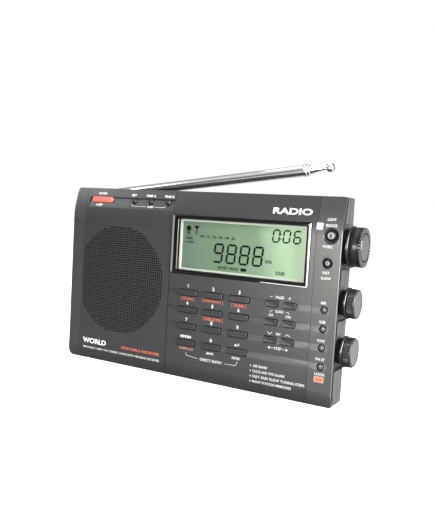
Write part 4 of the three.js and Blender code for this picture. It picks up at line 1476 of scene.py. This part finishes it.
# %% [markdown]
# ## Printing
# The legends are pad-printed ink, a few hundredths of a millimetre thick. They could be an image on the
# panel, which blurs from close by. Instead each word is drawn with the built-in letters, stretched to its
# place and laid on the swept front as a thin closed plate, and all words of one ink become one piece.

# %% Ink on the front
INK = 0.035


def letters(text, weight):
    """The flat mesh of a word in a box of one by one, and how wide the word is for its height."""
    curve = bpy.data.curves.new("word", "FONT")
    curve.body = text
    curve.offset = weight
    curve.resolution_u = 3
    writer = bpy.data.objects.new("word", curve)
    bpy.context.scene.collection.objects.link(writer)
    graph = bpy.context.evaluated_depsgraph_get()
    mesh = bpy.data.meshes.new_from_object(writer.evaluated_get(graph))
    bpy.data.objects.remove(writer)
    xs, ys = [v.co.x for v in mesh.vertices], [v.co.y for v in mesh.vertices]
    wide, tall = max(xs) - min(xs), max(ys) - min(ys)
    mesh.transform(Matrix.Diagonal((1 / wide, 1 / tall, 1, 1)) @ Matrix.Translation((-min(xs), -min(ys), 0)))
    return mesh, wide / tall


class Ink:
    """Collects flat shapes on the front and turns them into one thin printed piece."""

    def __init__(self, surface=front_at):
        self.bm = bmesh.new()
        self.surface = surface

    def word(self, text, x0, x1, z0, z1, weight=0.0):
        """Set a word in a box. With no right edge given, it is centred on x0 at its natural width."""
        mesh, shape = letters(text, weight)
        if x1 is None:
            half = shape * (z1 - z0) / 2
            x0, x1 = x0 - half, x0 + half
        mesh.transform(Matrix(((x1 - x0, 0, 0, x0), (0, 0, 0, 0), (0, z1 - z0, 0, z0), (0, 0, 0, 1))))
        self.bm.from_mesh(mesh)

    def shape(self, outline):
        self.bm.faces.new([self.bm.verts.new((x, 0, z)) for x, z in outline])

    def line(self, points, width):
        for (x0, z0), (x1, z1) in zip(points, points[1:]):
            length = math.hypot(x1 - x0, z1 - z0)
            nx, nz = -(z1 - z0) / length * width / 2, (x1 - x0) / length * width / 2
            self.shape([(x0 + nx, z0 + nz), (x1 + nx, z1 + nz), (x1 - nx, z1 - nz), (x0 - nx, z0 - nz)])

    def printed(self, name, finish, slot="panel"):
        bmesh.ops.remove_doubles(self.bm, verts=self.bm.verts, dist=0.002)
        raised = bmesh.ops.extrude_face_region(self.bm, geom=self.bm.faces[:], use_keep_orig=True)
        tops = {v for v in raised["geom"] if isinstance(v, bmesh.types.BMVert)}
        for vertex in self.bm.verts:
            vertex.co.y = self.surface(vertex.co.z) + (-INK if vertex in tops else INK)
        return finish_piece(smooth(piece_from(self.bm, name), 20), finish, "case", slot)


print("ink is", 2 * INK, "mm thick")

# %% [markdown]
# White ink marks what a hand looks for first: the digits over the keys, the power button and the presets.
# The words could be scattered through the keys above. Kept in one place, they can be read and corrected like
# a proof sheet. They are plain words: what a key does, and nothing else.

# %% White legends
white = Ink()
white.word("POWER", -75.0, -68.4, 109.8, 111.2, 0.01)
white.word("SLEEP", -75.5, -70.4, 102.4, 103.7, 0.02)
for text, x0, x1 in (("SET", -48, -44), ("TIME A", -36.7, -29.1), ("TIME B", -22.8, -15.5)):
    white.word(text, x0, x1, 109.4, 110.8, 0.02)
white.word("RADIO", 52.1, 75.5, 103.1, 106.7, 0.03)
white.shape(rounded(78.9, 82.4, 96.0, 99.5, 0.2, 2))
white.word("WORLD", -80.6, -60.8, 10.9, 14.3, 0.03)
for i in range(9):
    key = middle_of(f"key_{i // 3 + 1}_{i % 3 + 1}")
    white.word(str(i + 1), key.x - 0.2, None, key.z + 2.9, key.z + 5.0, 0.02)
zero, left_key, right_key = middle_of("key_4_2"), middle_of("key_4_1"), middle_of("key_4_3")
white.word("0", zero.x, None, zero.z + 2.9, zero.z + 5.0, 0.02)
white.word("MEMORY", left_key.x - 4.0, left_key.x + 4.0, left_key.z + 3.0, left_key.z + 4.6, 0.02)
arrow_x, arrow_z = right_key.x - 1.6, right_key.z + 3.7
white.line([(arrow_x + 0.9, arrow_z), (arrow_x + 3.0, arrow_z), (arrow_x + 3.0, arrow_z + 1.2)], 0.35)
white.shape([(arrow_x, arrow_z), (arrow_x + 1.2, arrow_z - 0.8), (arrow_x + 1.2, arrow_z + 0.8)])
white.printed("print_white", "white_ink")
print("white legends printed")

# %% [markdown]
# The small print is a little greyer than the large white words, as thin strokes of the same ink look. Making
# it from thinner white letters would leave that to chance, so it has an ink of its own. One table gives each
# word with its left edge, right edge and height. Arrows and brackets are thin lines.

# %% Small grey legends
grey = Ink()
SMALL_WORDS = [("PAGE", 58.0, 63.0, 56.2), ("SCAN", 58.4, 63.0, 48.3), ("AM", 54.2, 57.0, 45.9),
               ("FM", 64.8, 67.6, 45.9), ("SW", 59.6, 62.4, 35.7), ("STEP", 59.0, 63.4, 27.6),
               ("AIR", 84.2, 87.6, 56.2), ("SSB", 84.2, 87.7, 45.9), ("SYNC", 83.8, 88.3, 35.7),
               ("FM ST", 83.6, 88.8, 25.6), ("LIGHT", 84.6, 89.4, 100.8), ("SNOOZE", 84.0, 90.3, 97.6),
               ("MUSIC", 83.2, 88.8, 86.3), ("FAST", 84.2, 88.0, 72.3), ("SLOW", 83.4, 89.0, 69.4),
               ("LOCK", 83.6, 89.6, 17.6)]
for text, x0, x1, z in SMALL_WORDS:
    grey.word(text, x0, x1, z, z + 1.5, 0.02)
for x, z, aim in ((55.8, 28.3, -1), (66.6, 28.3, 1)):
    grey.shape([(x - 0.6 * aim, z - 0.8), (x + 0.9 * aim, z), (x - 0.6 * aim, z + 0.8)])
    grey.line([(x - 2.6 * aim, z), (x - 1.4 * aim, z)], 0.3)
for x, up in ((55.7, -1), (66.5, 1)):
    grey.line([(x - 1.4, 36.4 - 0.6 * up), (x, 36.4 + 0.6 * up), (x + 1.4, 36.4 - 0.6 * up)], 0.32)
for x, side in ((56.8, -1), (64.8, 1)):
    grey.line([(x, 49.2), (x + 1.2 * side, 49.2), (x + 1.8 * side, 48.0)], 0.28)
grey.line([(54.6, 57.0), (56.0, 57.0)], 0.32)
grey.line([(65.6, 57.0), (67.2, 57.0)], 0.32)
grey.line([(66.4, 56.2), (66.4, 57.8)], 0.32)
grey.word("ENTER", right_key.x - 2.6, right_key.x + 2.6, right_key.z - 4.6, right_key.z - 3.2, 0.02)
grey.word("BAND", zero.x - 2.4, zero.x + 2.4, zero.z - 4.6, zero.z - 3.2, 0.02)
grey.word("DIRECT ENTRY", 11.3, 26.6, 13.4, 15.0, 0.02)
grey.line([(1.0, 16.8), (1.6, 15.0), (9.6, 14.2)], 0.24)
grey.line([(28.0, 14.1), (35.6, 14.4), (36.4, 17.0)], 0.24)
grey.line([(-46.6, 104.4), (-45.8, 103.2), (-35.4, 103.2)], 0.24)
grey.line([(-28.8, 103.2), (-21.3, 103.2), (-20.5, 104.4)], 0.24)
grey.word("ALARM", -34.4, -29.8, 102.5, 103.9, 0.02)
grey.word("FM STEREO / MW / LW / SHORT WAVE WITH AIR BAND RECEIVER", -80, -18, 7.3, 8.7, 0.015)
for i, (text, x1) in enumerate((("AIR BAND", 55.6), ("CLOCK AND TWO ALARMS", 66.4),
                                ("FAST AND SLOW TUNING STEPS", 78.4), ("MANY STATION MEMORIES", 70.6))):
    z = 15.8 - 3 * i
    grey.shape(rounded(44.9, 45.6, z + 0.1, z + 0.8, 0.1, 1))
    grey.word(text, 46.6, x1, z - 0.2, z + 1.3, 0.015)
grey.printed("print_grey", "grey_ink")
print("grey legends:", len(SMALL_WORDS))

# %% [markdown]
# A second function of a key is printed in orange under it, between short brackets, and one of them in a
# fainter rose. The lock button has an orange badge with a paler border. Two inks that overlap would flicker,
# so the badge's core is a thin plate of its own that stands just proud of its border.

# %% Orange and rose legends
orange = Ink()
for text, x0, x1, z in (("SCAN", -4.1, 4.9, 49.5), ("SQUELCH", 11.0, 24.6, 49.6), ("TUNE", 30.7, 39.8, 49.2),
                        ("DELETE", 11.7, 25.0, 39.0)):
    middle, half = (x0 + x1) / 2, (x1 - x0) / 2
    orange.word(text, x0 + 1.2, x1 - 1.2, z - 0.85, z + 0.85, 0.03)
    for side in (-1, 1):
        orange.line([(middle + side * (half - 0.7), z + 1.1), (middle + side * half, z + 1.1),
                     (middle + side * half, z - 1.1), (middle + side * (half - 0.7), z - 1.1)], 0.3)
orange.word("PORTABLE RECEIVER", -48, -18, 11.1, 12.8, 0.03)
orange.printed("print_orange", "orange_ink")
rose = Ink()
rose.word("DISPLAY", -3.9, 6.5, 18.2, 19.9, 0.03)
rose.printed("print_rose", "rose_ink")

badge = Ink()
badge.shape(rounded(83.4, 89.0, 13.8, 17.0, 0.5, 3))
badge.printed("lock_badge", "badge_border", "casing")
core = rounded(84.0, 88.4, 14.4, 16.4, 0.4, 3)
finish_piece(prism("lock_badge_core", core, "y", FRONT - 0.06, FRONT + 0.02), "orange_ink", "case", "casing")
print("coloured legends printed")

# %% [markdown]
# The display also has small fixed words, dark like its segments. They are printed with the same Ink helper.
# It only needs another surface to lie on: the flat panel in place of the swept front.

# %% Small words of the display
display_words = Ink(lambda z: lcd_low.y)
for text, x0, x1, z0, z1 in (("0-1-2-3-4-5", 14.6, 38.2, 86.7, 88.2), ("kHz", 58.4, 62.5, 74.9, 77.0),
                             ("SHORT WAVE", 27.6, 41.4, 68.9, 70.8), ("SSB", 65.0, 70.8, 68.9, 71.0),
                             ("TIMER", 4.0, 9.6, 85.1, 86.5), ("LOCKED", 4.0, 10.2, 82.9, 84.2)):
    display_words.word(text, lcd_low.x + x0, lcd_low.x + x1, z0, z1, 0.02)
display_words.printed("display_words", "segment", "lcd")
print("display words printed")

# %% [markdown]
# ## What is inside
# The boards, the loudspeaker, the cells and the ferrite rod keep their plain shapes, since they are seen
# only through an open door. Components could be modelled on the boards for nobody to see. A finish of their
# own is enough: solder mask with tracks, a paper cone, dark ferrite and a printed wrap.

# %% Inside finishes
def circuit_board():
    """Green solder mask over copper tracks: the tracks are a brick pattern that shows as a paler green."""
    material, tree, shader = blank_material("board_green", Roughness=0.35)
    place = tree.nodes.new("ShaderNodeTexCoord")
    tracks = tree.nodes.new("ShaderNodeTexBrick")
    tracks.inputs["Scale"].default_value = 260
    tracks.inputs["Mortar Size"].default_value = 0.03
    tracks.inputs["Color1"].default_value = srgb("#14532f")
    tracks.inputs["Color2"].default_value = srgb("#17603a")
    tracks.inputs["Mortar"].default_value = srgb("#3f8a5a")
    turn = tree.nodes.new("ShaderNodeMapping")
    turn.inputs["Rotation"].default_value = (math.radians(90), 0, 0)
    tree.links.new(place.outputs["Object"], turn.inputs["Vector"])
    tree.links.new(turn.outputs["Vector"], tracks.inputs["Vector"])
    tree.links.new(tracks.outputs["Color"], shader.inputs["Base Color"])
    bumpy(tree, shader, tracks.outputs["Fac"], 1.0, GRAIN_HEIGHT)
    return material


INSIDE = {
    "main_board": circuit_board(),
    "speaker_driver": plastic("basket_black", "#1c1c1d", "#262627", 0.45, depth=0.1, Metallic=0.6),
    "speaker_cone": plastic("cone_paper", "#0f0f10", "#171718", 0.85, grain=900.0, depth=0.7),
    "ferrite_rod": plastic("ferrite_dark", "#2b2725", "#35302d", 0.6, grain=1200.0, depth=0.4),
}
INSIDE["encoder_board"] = INSIDE["main_board"]
cell_wrap = plastic("cell_wrap", "#6f7430", "#7d823a", 0.28, depth=0.04)
for i in (1, 2, 3, 4):
    INSIDE[f"battery_{i}"] = cell_wrap
for node, material in INSIDE.items():
    mesh_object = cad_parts[node]
    mesh_object.data.materials.clear()
    mesh_object.data.materials.append(material)
print("inside nodes with a finish:", len(INSIDE))

# %% [markdown]
# ## Studio
# The radio stands on a pale floor. A plain white one would throw so much light upwards that the undersides
# would glow. So the floor is white to the eye and darker to every other ray, as a floor in the shade is.

# %% Floor
def studio_floor():
    """White to the eye, but darker for reflections, as a floor in the shade of a studio is."""
    material, tree, shader = blank_material("floor_white", Roughness=0.8, Emission_Strength=0.6)
    place = tree.nodes.new("ShaderNodeTexCoord")
    cloud = noise(tree, 3, 2, place.outputs["Object"])
    rays = tree.nodes.new("ShaderNodeLightPath")
    white = mixed(tree, cloud, srgb("#f8f8f8"), srgb("#fefefe"))
    shade = mixed(tree, rays.outputs["Is Camera Ray"], srgb("#8a8a8a"), white)
    tree.links.new(shade, shader.inputs["Base Color"])
    tree.links.new(mixed(tree, rays.outputs["Is Camera Ray"], srgb("#4a4a4a"), white),
                   shader.inputs["Emission Color"])
    floor = prism("studio_floor", rounded(-3000, 3000, -3000, 3000, 200, 8), "z", -20, -0.05)
    floor.data.materials.append(material)
    return floor


print("floor:", studio_floor().name)

# %% [markdown]
# Chrome shows the room, so there has to be one. A picture of a real studio could be wrapped round the scene,
# but it would have to be loaded from a file. Two grey ramps over the height make a plain studio, one before
# the radio and one behind it. The eye itself sees white, so that the background stays clean.

# %% Sky
# (height, how bright the room is there): straight down is 0, level is 0.5 and straight up is 1
BEFORE = [(0.0, 0.2), (0.5, 0.12), (0.59, 0.15), (0.77, 0.85), (1.0, 1.0)]
BEHIND = [(0.0, 0.7), (0.49, 1.0), (0.53, 0.3), (0.93, 0.4), (0.985, 1.0)]


def scaled(tree, value, factor):
    """The value times a factor, moved so that zero comes out as a half."""
    result = maths(tree, "MULTIPLY_ADD", value, factor)
    result.node.inputs[2].default_value = 0.5
    return result


def grey_ramp(tree, fac, stops):
    return colour_ramp(tree, fac, [(place, (grey, grey, grey, 1)) for place, grey in stops])


def studio_sky():
    world = bpy.data.worlds.new("studio_sky")
    world.use_nodes = True
    sky = world.node_tree
    split = sky.nodes.new("ShaderNodeSeparateXYZ")
    sky.links.new(sky.nodes.new("ShaderNodeTexCoord").outputs["Generated"], split.inputs["Vector"])
    height = scaled(sky, split.outputs["Z"], 0.5)
    depth = scaled(sky, split.outputs["Y"], 1.4)
    depth.node.use_clamp = True
    room = mixed(sky, depth, grey_ramp(sky, height, BEFORE), grey_ramp(sky, height, BEHIND))
    rays = sky.nodes.new("ShaderNodeLightPath")
    shown = mixed(sky, rays.outputs["Is Camera Ray"], room, (1, 1, 1, 1))
    sky.links.new(shown, sky.nodes["Background"].inputs["Color"])
    return world


bpy.context.scene.world = studio_sky()
bpy.context.scene.view_settings.view_transform = "Standard"
print("room tones:", len(BEFORE), "before and", len(BEHIND), "behind")

# %% [markdown]
# One soft light stands near the camera for the front, a weak one lies on the left, a broad one fills the
# knobs on the right and one hangs above. Spot lights or a sun would give hard shadows. An area light gives
# soft ones and a broad highlight, and each is placed by what it aims at, as in a real studio.

# %% Lights
def soft_light(name, place, aim, size, power, colour=(1.0, 1.0, 1.0)):
    data = bpy.data.lights.new(name, "AREA")
    data.shape = "RECTANGLE"
    data.size, data.size_y = size[0] * MM, size[1] * MM
    data.energy = power
    data.color = colour
    light = bpy.data.objects.new(name, data)
    away = (Vector(place) - Vector(aim)).normalized()
    turn = away.to_track_quat("Z", "Y").to_matrix().to_4x4()
    light.matrix_world = Matrix.Translation(Vector(place) * MM) @ turn
    bpy.context.scene.collection.objects.link(light)
    return light


soft_light("key_light", (-60, -905, 120), (86, -16, 82), (250, 230), 7.8, (1.0, 0.98, 0.93))
soft_light("left_light", (-650, -420, 505), (-88, -14, 105), (220, 220), 1.1)
soft_light("side_light", (900, -60, 240), (95, 0, 60), (700, 700), 58)
soft_light("top_light", (0, 60, 900), (0, 0, 60), (900, 700), 3)
